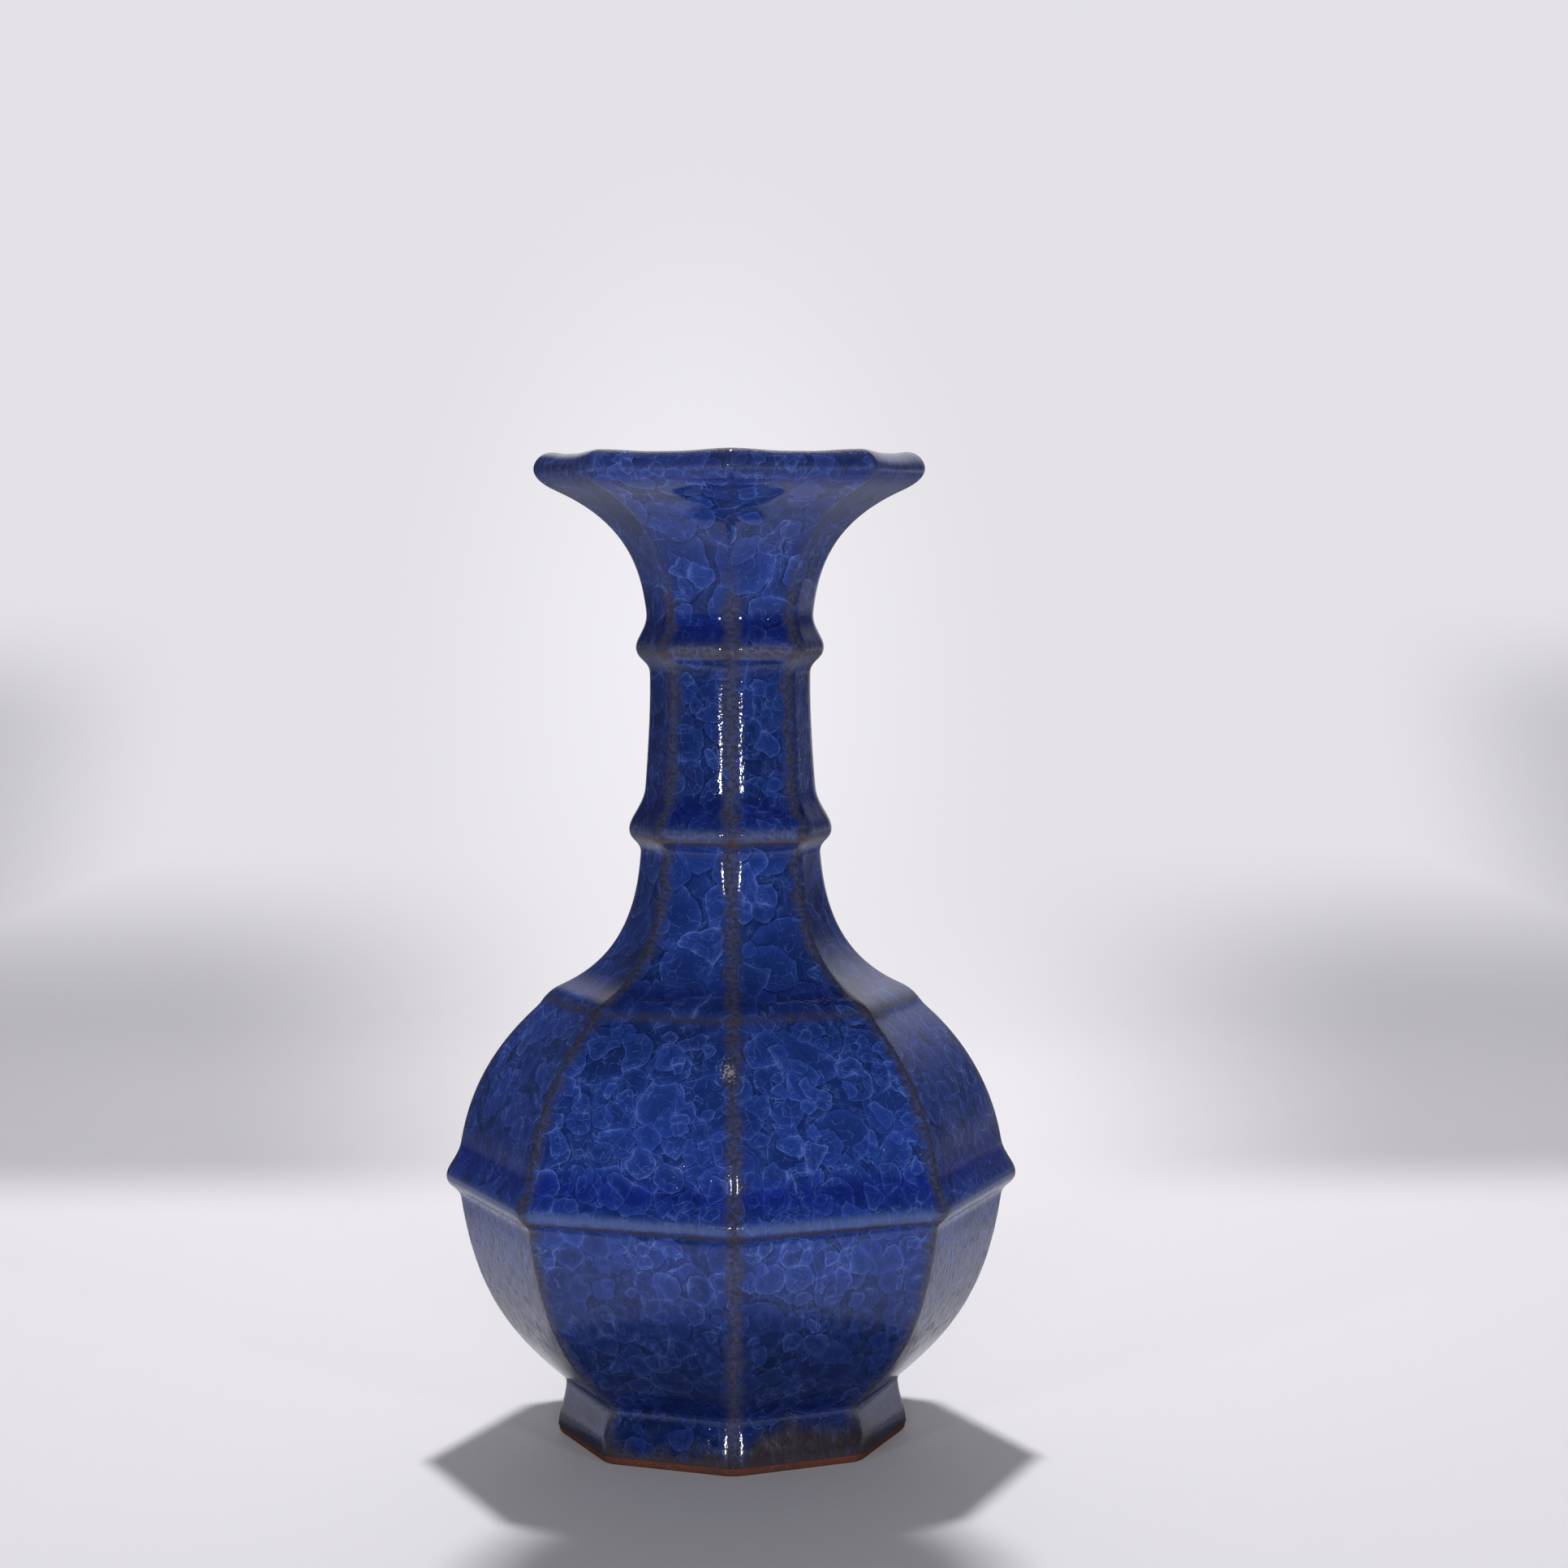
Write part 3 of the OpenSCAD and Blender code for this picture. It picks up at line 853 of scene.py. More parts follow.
def flake_sheet() -> bpy.types.NodeTree:
    """A sheet of crackle flakes over what lies deeper: rounded plates with broken bright rims and dark gaps
    of painted shadow.

    Each cell of a cell pattern may hold one plate. Three numbers that belong to the cell, its dice, settle
    whether the plate is there, how wide and bright it is, and whether it has a second rim inside the first.

    Returns:
        The group.
    """
    bench, given, out = shared_effect(
        "flake_sheet",
        (("Place", "Vector", None), ("Under", "Color", BLACK), ("Body", "Color", BLACK),
         ("Rim", "Color", BLACK), ("Break", "Float", 0.5), ("Size", "Float", 10.0), ("Share", "Float", 0.5),
         ("Round", "Float", 0.6), ("Ring", "Float", 2.0), ("Cover", "Float", 0.6), ("Glint", "Float", 1.0),
         ("Start", "Float", 0.0)),
        (("Colour", "Color"),))
    size, start = (
        bench.node("ShaderNodeCombineXYZ", {"X": given[key], "Y": given[key], "Z": depth}).outputs[0]
        for key, depth in (("Size", 1.0), ("Start", 0.0)))
    spot = bench.vector("ADD", bench.vector("DIVIDE", given["Place"], size), start)
    cell = bench.cells(spot).outputs
    dice = bench.node("ShaderNodeSeparateColor", {"Color": cell["Color"]}).outputs

    reach = bench.product(given["Round"], bench.sloped(dice["Blue"], 0.4, 0.8))
    inside = bench.math("SUBTRACT", reach, cell["Distance"])
    depth = bench.product(bench.math("SMOOTH_MIN", bench.edge_gap(spot), inside, 0.06), given["Size"])
    there = bench.math("LESS_THAN", dice["Red"], given["Share"])
    plate = bench.product(there, bench.ease(depth, -0.03, 0.05))

    broken = bench.ease(bench.sloped(dice["Blue"], 0.5, given["Break"]), 0.5, 1.05, 0.25, 1.35)
    outer_rim = bench.math("ADD", rim_light(bench, depth, 0.13, 1.1), rim_light(bench, depth, 0.9, 0.20))
    ring = bench.product(given["Ring"], bench.sloped(dice["Green"], 0.9, 0.6))
    inner_rim = rim_light(bench, bench.math("SUBTRACT", depth, ring), 0.12, 0.6)
    has_ring = bench.math("GREATER_THAN", dice["Green"], 0.45)
    ringed = bench.product(has_ring, bench.ease(given["Break"], 0.55, 0.4))
    rims = bench.sloped(inner_rim, ringed, bench.product(outer_rim, broken))
    lit = bench.product(rims, bench.product(plate, given["Glint"]))

    tone = bench.math("FRACT", bench.product(dice["Green"], 7.3))
    glow = bench.math("EXPONENT", bench.product(depth, -0.55))
    shade = bench.sloped(tone, 0.42, bench.sloped(glow, 0.62, 0.50))
    grey = bench.node("ShaderNodeCombineColor", {"Red": shade, "Green": shade, "Blue": shade}).outputs[0]
    body = bench.mix(1.0, given["Body"], grey, "MULTIPLY")

    # painted shadow: a dark band just outside each plate, darkest near its edge and gone 0.8 mm out
    gap = bench.product(there, bench.ease(depth, -0.8, -0.1, 0.0, 0.42), bench.math("LESS_THAN", depth, 0.0))
    painted_shade = bench.mix(gap, given["Under"], (0.002, 0.007, 0.035))
    colour = bench.mix(bench.product(plate, given["Cover"]), painted_shade, body)
    bench.feed(bench.mix(lit, colour, given["Rim"]), out["Colour"])
    return bench.tree


def gloss_relief() -> bpy.types.NodeTree:
    """Height in mm of a glaze surface: long waves, orange peel and small pits.

    Returns:
        The group.
    """
    bench, given, out = shared_effect(
        "gloss_relief",
        (("Place", "Vector", None), ("Wave", "Float", 0.02), ("Peel", "Float", 0.004),
         ("Pits", "Float", 0.01)),
        (("Height", "Float"),))
    wave = bench.product(bench.noise(given["Place"], 7.0, 1.0), given["Wave"])
    grain = bench.noise(given["Place"], 1.1, 1.0)
    pit = bench.product(bench.ease(grain, 0.3, 0.22), given["Pits"])
    peel = bench.product(grain, given["Peel"])
    bench.feed(bench.math("SUBTRACT", bench.math("ADD", wave, peel), pit), out["Height"])
    return bench.tree


def clay_grain() -> bpy.types.NodeTree:
    """Fired clay: a colour with clouds, iron specks and pale grit, and the height of its grain in mm.

    Returns:
        The group.
    """
    bench, given, out = shared_effect(
        "clay_grain",
        (("Place", "Vector", None), ("Clay", "Color", (0.2, 0.1, 0.07)),
         ("Dark", "Color", (0.05, 0.03, 0.02)), ("Pale", "Color", (0.4, 0.3, 0.2))),
        (("Colour", "Color"), ("Height", "Float")))
    cloud = bench.noise(given["Place"], 9.0, 3.0)
    grain = bench.noise(given["Place"], 0.7, 3.0)
    colour = bench.mix(bench.ease(cloud, 0.35, 0.7, 0.0, 0.55), given["Clay"], given["Dark"])
    specks = bench.ease(bench.cells(given["Place"], 1.3, "3D").outputs["Distance"], 0.22, 0.1, 0.0, 0.7)
    colour = bench.mix(bench.product(specks, bench.ease(cloud, 0.4, 0.6)), colour, given["Dark"])
    colour = bench.mix(bench.ease(grain, 0.58, 0.75, 0.0, 0.5), colour, given["Pale"])
    bench.feed(colour, out["Colour"])
    bench.feed(bench.product(grain, 0.12), out["Height"])
    return bench.tree


@dataclass
class Effects:
    """The shared effects, each made once."""

    flakes: bpy.types.NodeTree = field(default_factory=flake_sheet)
    relief: bpy.types.NodeTree = field(default_factory=gloss_relief)
    grain: bpy.types.NodeTree = field(default_factory=clay_grain)


def new_material(name: str) -> tuple[bpy.types.Material, Bench, bpy.types.Node]:
    """Starts a material with a Principled shader.

    Args:
        name: Name of the material.

    Returns:
        The material, a bench for its nodes, and its shader node.
    """
    material = bpy.data.materials.new(name)
    material.use_nodes = True
    return material, Bench(material.node_tree), material.node_tree.nodes["Principled BSDF"]


# Finishes


class Fade(NamedTuple):
    """A soft change between two places or heights in mm, from one strength to another."""

    start: float
    end: float
    first: float = 0.0
    last: float = 1.0


@dataclass(frozen=True)
class FlakeLayer:
    """One sheet of flakes.

    It holds their size in mm, the share of cells with a flake, their roundness, the distance of the second
    rim from the first in mm, how far they cover what lies deeper, the brightness of their rims, and where
    their pattern starts.
    """

    size: float
    share: float
    round: float
    ring: float
    cover: float
    glint: float
    start: float


class GlazeGround:
    """The places and noises that the steps of one glaze share, in mm."""

    def __init__(self, bench: Bench) -> None:
        """Adds their nodes.

        Args:
            bench: Bench of the material.
        """
        self.place = bench.place()
        self.height = bench.parts(self.place)["Z"]
        self.spot = bench.panel_place()
        self.broad = bench.noise(self.spot, 24.0, 1.0, "2D")
        self.patch = bench.noise(self.spot, 5.0, 1.0, "2D")
        self.scattered = bench.noise(self.spot, 2.6, 1.0, "2D")
        self.mottle = bench.noise(bench.stretched(self.spot, (0.8, 1.2, 1.0)), 1.5, 4.0, "2D")
        self.fine = bench.noise(self.spot, 0.8, 1.0, "2D")
        swing = bench.vector("ADD", bench.swung(self.spot, 9.0, 4.0), bench.swung(self.spot, 1.8, 0.8))
        self.warped = bench.vector("ADD", self.spot, swing)


@dataclass(frozen=True)
class CrackleGlaze:
    """Thick cobalt glaze with sheets of overlapping crackle flakes, thin and brown on the ribs and ledges."""

    name: str = "crackle_glaze_cobalt"
    depth: Colour = (0.0050, 0.0150, 0.080)
    haze: Colour = (0.0110, 0.0250, 0.115)
    body: Colour = (0.0105, 0.0320, 0.185)
    pool: Colour = (0.0048, 0.0150, 0.150)
    rim: Colour = (0.085, 0.150, 0.46)
    pale: Colour = (0.052, 0.082, 0.215)
    veil: Colour = (0.044, 0.052, 0.112)
    veil_dark: Colour = (0.026, 0.025, 0.042)
    dusk: Colour = (0.092, 0.094, 0.134)
    thin: Colour = (0.040, 0.032, 0.038)
    foot: Colour = (0.019, 0.014, 0.017)
    rust: Colour = (0.075, 0.036, 0.016)
    crumb: Colour = (0.34, 0.31, 0.29)
    ior: float = 1.5
    gloss: Span = (0.045, 0.08)  # roughness where the glaze is clearest and where it is cloudiest
    thin_dulling: float = 0.05
    dry_dulling: float = 0.10
    wave: float = 0.035  # heights of the relief in mm, as far as the grit
    wave_crinkled: float = 0.060
    peel_inside: float = 0.0055
    peel_outside: float = 0.0060
    peel_crinkled: float = 0.045
    pits: float = 0.020
    grit: float = 0.045
    layers: tuple[FlakeLayer, ...] = (
        FlakeLayer(5.2, 1.00, 1.20, 9.0, 0.30, 0.22, 9.4),
        FlakeLayer(16.0, 0.60, 0.62, 2.6, 0.70, 0.55, 3.1),
        FlakeLayer(11.0, 0.62, 0.60, 1.7, 0.75, 0.75, 7.7),
        FlakeLayer(7.5, 0.52, 0.57, 1.4, 0.80, 0.85, 1.9),
        FlakeLayer(4.4, 0.22, 0.55, 6.0, 0.75, 0.80, 5.3),
    )
    crack_cells: tuple[float, ...] = (3.6, 6.5)
    crack_width: float = 0.12
    crack_light: float = 0.50
    large_flakes: tuple[Span, ...] = (  # heights between which the flakes are larger
        (VASE.ridge_height + 2.5, VASE.neck_height - 2.0),
        (VASE.throat_height - 1.6, VASE.mouth_height + 2.4),
    )
    large_shrink: float = 0.36  # how much smaller the map of the flakes is there
    grey_nose: Fade = Fade(120.0, 235.0, 0.0, 0.9)
    brown_patch_at: Triple = (27.0, -44.0, 6.0)
    brown_patch: Fade = Fade(30.0, 13.0, 0.0, 0.42)
    flaw_squeeze: Triple = (1.0, 0.3, 1.0)
    flaw_at: Triple = (-1.6, -22.5, 122.6)  # in squeezed mm
    flaw: Fade = Fade(3.0, 1.6, 0.0, 0.7)
    gritty_top: Fade = Fade(298.0, 299.6, 0.0, 0.55)
    dull_below: Fade = Fade(84.0, 74.0, 0.0, 0.26)
    dull_above: Fade = Fade(26.0, 36.0)

    def material(self, effects: Effects, outside: bool) -> bpy.types.Material:
        """Makes the material.

        Args:
            effects: The shared effects.
            outside: Whether it is the glaze of the outside, which has ledges and a brown foot.

        Returns:
            The material.
        """
        material, bench, shader = new_material(self.name if outside else self.name + "_inside")
        ground = GlazeGround(bench)
        colour = self.crackled(bench, ground, effects, outside)
        on_rib, veil = self.worn_ribs(bench, ground)
        if outside:
            colour, thinness, dry = self.thinned(bench, ground, colour, on_rib, veil)
        else:
            colour, thinness, dry = bench.mix(on_rib, colour, veil), on_rib, 0.0
        bench.feed(colour, shader.inputs["Base Color"])
        rough = bench.sloped(thinness, self.thin_dulling, bench.ease(ground.patch, 0.3, 0.7, *self.gloss))
        rough = bench.sloped(dry, self.dry_dulling, rough)
        wave, peel = self.wave, self.peel_inside
        if outside:
            rough = self.dulled(bench, ground, rough)
            crinkle = bench.attribute("rough")
            wave = bench.sloped(crinkle, self.wave_crinkled, self.wave)
            peel = bench.sloped(crinkle, self.peel_crinkled, self.peel_outside)
        bench.feed(rough, shader.inputs["Roughness"])
        shader.inputs["IOR"].default_value = self.ior
        relief = bench.group(effects.relief, {
            "Place": ground.place, "Wave": wave, "Peel": peel, "Pits": self.pits})
        grit = bench.product(thinness, ground.fine, self.grit)
        bench.feed(bench.bump(bench.math("ADD", relief["Height"], grit)), shader.inputs["Normal"])
        return material

    def crackled(self, bench: Bench, ground: GlazeGround, effects: Effects, outside: bool) -> Socket:
        """The full glaze: its depth, the sheets of flakes from the lowest up, fine bright cracks and,
        outside, painted shade.

        Args:
            bench: Bench of the material.
            ground: Places and noises of the glaze.
            effects: The shared effects.
            outside: Whether it is the glaze of the outside.

        Returns:
            The colour.
        """
        pool = bench.attribute("pool") if outside else bench.ease(ground.broad, 0.4, 0.7)
        clear = bench.product(bench.ease(ground.broad, 0.3, 0.65, 0.5, 1.15),
                              bench.ease(ground.patch, 0.32, 0.62, 0.45, 1.2), bench.sloped(pool, -0.5, 1.0))
        colour = bench.mix(bench.ease(ground.patch, 0.35, 0.68), self.depth, self.haze)
        colour = bench.mix(pool, colour, self.pool)
        body = bench.mix(pool, self.body, self.pool)
        spot = self.enlarged(bench, ground) if outside else ground.warped
        for layer in self.layers:
            glint = bench.product(clear, layer.glint)
            sheet = bench.group(effects.flakes, {
                "Place": spot, "Under": colour, "Body": body, "Rim": self.rim, "Break": ground.scattered,
                "Size": layer.size, "Share": layer.share, "Round": layer.round, "Ring": layer.ring,
                "Cover": layer.cover, "Glint": glint, "Start": layer.start})
            colour = sheet["Colour"]
        for cell in self.crack_cells:
            gap = bench.product(bench.edge_gap(ground.warped, cell), cell)
            line = bench.product(bench.ease(gap, self.crack_width, 0.02), clear,
                                 bench.ease(ground.scattered, 0.36, 0.56, 0.0, self.crack_light))
            colour = bench.mix(line, colour, self.rim)
        if outside:
            # painted shade by height, read from the mesh: darkest low on the bowl above the foot, slight
            # higher up
            colour = bench.scaled(colour, bench.math("SUBTRACT", 1.0, bench.attribute("painted_shade")))
        return colour

    def enlarged(self, bench: Bench, ground: GlazeGround) -> Socket:
        """Enlarges the flakes on the shoulder and the mouth. The breaks lie in the brown lines of the ledges.

        Args:
            bench: Bench of the material.
            ground: Places and noises of the glaze.

        Returns:
            The place on the panel at which the flakes are drawn.
        """
        large = 0.0
        for low, high in self.large_flakes:
            above, beyond = (bench.math("GREATER_THAN", ground.height, edge) for edge in (low, high))
            large = bench.math("ADD", large, bench.math("SUBTRACT", above, beyond))
        return bench.scaled(ground.warped, bench.sloped(large, -self.large_shrink, 1.0))

    def worn_ribs(self, bench: Bench, ground: GlazeGround) -> tuple[Socket, Socket]:
        """Where the clay shows through on the ribs.

        Args:
            bench: Bench of the material.
            ground: Places and noises of the glaze.

        Returns:
            How far it shows, from 0 to 1, and the mottled colour there.
        """
        uneven = bench.jittered(bench.attribute("rib_gap"), ground.patch, 4.5)
        uneven = bench.jittered(uneven, ground.mottle, 4.0)
        veil = bench.mix(bench.ease(ground.mottle, 0.30, 0.70), self.veil_dark, self.veil)
        return bench.ease(uneven, 4.2, 0.3, 0.0, 0.94), veil

    def thinned(self, bench: Bench, ground: GlazeGround, colour: Socket, on_rib: Socket,
                veil: Socket) -> tuple[Socket, Socket, Socket]:
        """Lets the clay show through the outer glaze on its ribs, its ledges and its foot.

        Args:
            bench: Bench of the material.
            ground: Places and noises of the glaze.
            colour: Colour of the full glaze.
            on_rib: How far the clay shows on the ribs.
            veil: Colour of the ribs.

        Returns:
            The colour with its thin places, how thin the glaze is, and how dry, both from 0 to 1.
        """
        on_rib = bench.product(on_rib, bench.attribute("worn"))
        on_foot = self.brown_foot(bench, ground)
        upright = bench.stretched(ground.spot, (1.0, 0.16, 1.0))
        streak = bench.noise(upright, 1.3, 1.0, "2D")
        nose, below = bench.attribute("pale"), bench.attribute("line")
        pale = bench.product(nose, bench.ease(streak, 0.3, 0.6, 0.75, 1.0))
        line = bench.math("MULTIPLY", below, bench.ease(streak, 0.25, 0.6, 0.6, 1.1), clamp=True)
        speckled = bench.mix(bench.ease(ground.mottle, 0.42, 0.62, 0.0, 0.7), self.dusk, self.veil_dark)
        paler = bench.mix(bench.ease(ground.height, *self.grey_nose), self.pale, speckled)
        crossing = bench.product(on_rib, bench.sloped(nose, 0.4, below))
        rusty = bench.product(bench.ease(crossing, 0.25, 0.8), bench.ease(ground.patch, 0.4, 0.6, 0.2, 0.85))
        for share, shown in ((pale, paler), (on_rib, veil), (line, self.thin), (on_foot, self.foot),
                             (rusty, self.rust)):
            colour = bench.mix(share, colour, shown)

        cracked = bench.product(bench.ease(bench.edge_gap(upright, 3.4), 0.045, 0.01),
                                bench.ease(nose, 0.1, 0.4, 0.0, 0.30), bench.ease(ground.patch, 0.4, 0.6))
        web = bench.edge_gap(bench.swung(bench.stretched(ground.spot, (1.0, 0.5, 1.0)), 2.0, 1.2), 1.9)
        web = bench.product(bench.ease(web, 0.07, 0.01), bench.ease(ground.patch, 0.38, 0.62, 0.02, 0.09),
                            on_foot)
        for share in (cracked, web):
            colour = bench.mix(share, colour, self.rim)
        thinness = bench.greatest(line, on_rib, bench.product(pale, 0.6))
        return bench.mix(self.crumbs(bench, ground), colour, self.crumb), thinness, on_foot

    def brown_foot(self, bench: Bench, ground: GlazeGround) -> Socket:
        """Where the glaze is thin and brown on the foot, highest at the brown patch at the front right.

        Args:
            bench: Bench of the material.
            ground: Places and noises of the glaze.

        Returns:
            How brown it is, from 0 to 1.
        """
        runs = bench.noise(bench.stretched(ground.place, (1.0, 1.0, 0.35)), 9.0, 3.0)
        patch = bench.ease(bench.distance(ground.place, self.brown_patch_at), *self.brown_patch)
        top = bench.math("ADD", bench.product(runs, 13.0), bench.product(patch, 16.0))
        return bench.ease(bench.math("SUBTRACT", ground.height, top), 3.0, -4.5, 0.0, 0.95)

    def crumbs(self, bench: Bench, ground: GlazeGround) -> Socket:
        """Pale grit on the edge of the lip, and the one pale flaw on the front rib.

        Args:
            bench: Bench of the material.
            ground: Places and noises of the glaze.

        Returns:
            How far it shows, from 0 to 1.
        """
        grit = bench.product(bench.ease(ground.fine, 0.58, 0.66), bench.ease(ground.height, *self.gritty_top))
        gap = bench.distance(bench.stretched(ground.place, self.flaw_squeeze), self.flaw_at)
        return bench.greatest(grit, bench.ease(bench.jittered(gap, ground.fine, 6.0), *self.flaw))

    def dulled(self, bench: Bench, ground: GlazeGround, rough: Socket) -> Socket:
        """Roughens the bowl of the vase in fine streaks.

        Args:
            bench: Bench of the material.
            ground: Places and noises of the glaze.
            rough: Roughness so far.

        Returns:
            The roughness with its streaks.
        """
        streak = bench.noise(bench.stretched(ground.spot, (1.0, 0.30, 1.0)), 1.3, 3.0, "2D")
        bowl = bench.product(bench.ease(ground.height, *self.dull_below),
                             bench.ease(ground.height, *self.dull_above))
        return bench.sloped(bench.ease(streak, 0.42, 0.62), bowl, rough)


@dataclass(frozen=True)
class FiredClay:
    """Bare fired stoneware, red-brown, dry and slightly gritty."""

    name: str = "fired_clay_bare"
    clay: Colour = (0.086, 0.026, 0.016)
    dark: Colour = (0.040, 0.022, 0.018)
    pale: Colour = (0.18, 0.11, 0.08)
    rough: Span = (0.72, 0.90)
    ior: float = 1.45

    def material(self, effects: Effects) -> bpy.types.Material:
        """Makes the material.

        Args:
            effects: The shared effects.

        Returns:
            The material.
        """
        material, bench, shader = new_material(self.name)
        grain = bench.group(effects.grain, {"Place": bench.place(), "Clay": self.clay, "Dark": self.dark,
                                            "Pale": self.pale})
        bench.feed(grain["Colour"], shader.inputs["Base Color"])
        bench.feed(bench.ease(grain["Height"], 0.03, 0.1, *self.rough), shader.inputs["Roughness"])
        bench.feed(bench.bump(grain["Height"]), shader.inputs["Normal"])
        shader.inputs["IOR"].default_value = self.ior
        return material


@dataclass(frozen=True)
class UndersideCoat:
    """Thin pale blue-grey glaze under the floor, with stains of clay and fine crackle."""

    name: str = "underside_coat"
    coat: Colour = (0.18, 0.22, 0.33)
    stain: Colour = (0.10, 0.075, 0.060)
    crack: Colour = (0.055, 0.050, 0.060)
    crack_cell: float = 8.0
    rough: Span = (0.12, 0.35)
    wave: float = 0.05
    peel: float = 0.01
    pits: float = 0.03

    def material(self, effects: Effects) -> bpy.types.Material:
        """Makes the material.

        Args:
            effects: The shared effects.

        Returns:
            The material.
        """
        material, bench, shader = new_material(self.name)
        place = bench.place()
        cloud = bench.noise(place, 14.0, 3.0)
        colour = bench.mix(bench.ease(cloud, 0.4, 0.75, 0.0, 0.6), self.coat, self.stain)
        cracked = bench.ease(bench.edge_gap(place, self.crack_cell, "3D"), 0.035, 0.01, 0.0, 0.7)
        bench.feed(bench.mix(cracked, colour, self.crack), shader.inputs["Base Color"])
        bench.feed(bench.ease(cloud, 0.3, 0.8, *self.rough), shader.inputs["Roughness"])
        relief = bench.group(effects.relief, {
            "Place": place, "Wave": self.wave, "Peel": self.peel, "Pits": self.pits})
        bench.feed(bench.bump(relief["Height"]), shader.inputs["Normal"])
        return material


# Sub-assemblies


@dataclass(frozen=True)
class Stretch:
    """A stretch of height in mm over which something rises to its full strength and falls again."""

    start: float
    full: float
    fade: float
    end: float
    strength: float = 1.0

    @classmethod
    def around(cls, middle: float, reach: float, strength: float) -> "Stretch":
        """A stretch that is at its full strength in its middle alone."""
        return cls(middle - reach, middle, middle, middle + reach, strength)

    @classmethod
    def up_to(cls, fade: float, end: float, strength: float) -> "Stretch":
        """A stretch that starts at full strength on the ground."""
        return cls(-1.0, 0.0, fade, end, strength)

    def at(self, height: float) -> float:
        """Strength at a height."""
        rise = smooth_step(self.start, self.full, height)
        return self.strength * rise * smooth_step(self.end, self.fade, height)


@dataclass(frozen=True)
class Softness:
    """How the hand-built form departs from an even one, in mm."""

    dent: float = 0.24
    dent_size: float = 24.0
    sag: float = 0.75
    sag_start: float = 291.0
    sag_full: float = 299.5
    sag_corner: float = 0.8  # share of the way from a corner of the lip to its middle where the sag is full

    def shift(self, point: Vector) -> Vector:
        """Small inward dents of the glaze, and the sag of the lip's top between its corners.

        Args:
            point: Point of the even shape, in mm.

        Returns:
            The shift, in mm.
        """
        depth = self.dent * (0.5 + 0.5 * noise.noise(point / self.dent_size))
        out = Vector((point.x, point.y, 0)).normalized()
        swing = (math.atan2(point.x, -point.y) / (2 * HALF_PANEL)) % 1.0
        middle = 1 - abs(2 * swing - 1)
        drop = self.sag * smooth_step(self.sag_start, self.sag_full, point.z)
        return out * -depth - Vector((0, 0, drop * smooth_step(0.0, self.sag_corner, middle)))


def reshaped(flat: float, rib: float, radius: float) -> float:
    """Panel distance of a section whose ribs get another radius and stay as far out as they were.

    Args:
        flat: Panel distance with the ribs as they were.
        rib: Radius of the ribs before.
        radius: Radius of the ribs after.

    Returns:
        The new panel distance.
    """
    reach = (flat - rib) * RIB_REACH + rib
    return (reach - radius) / RIB_REACH + radius


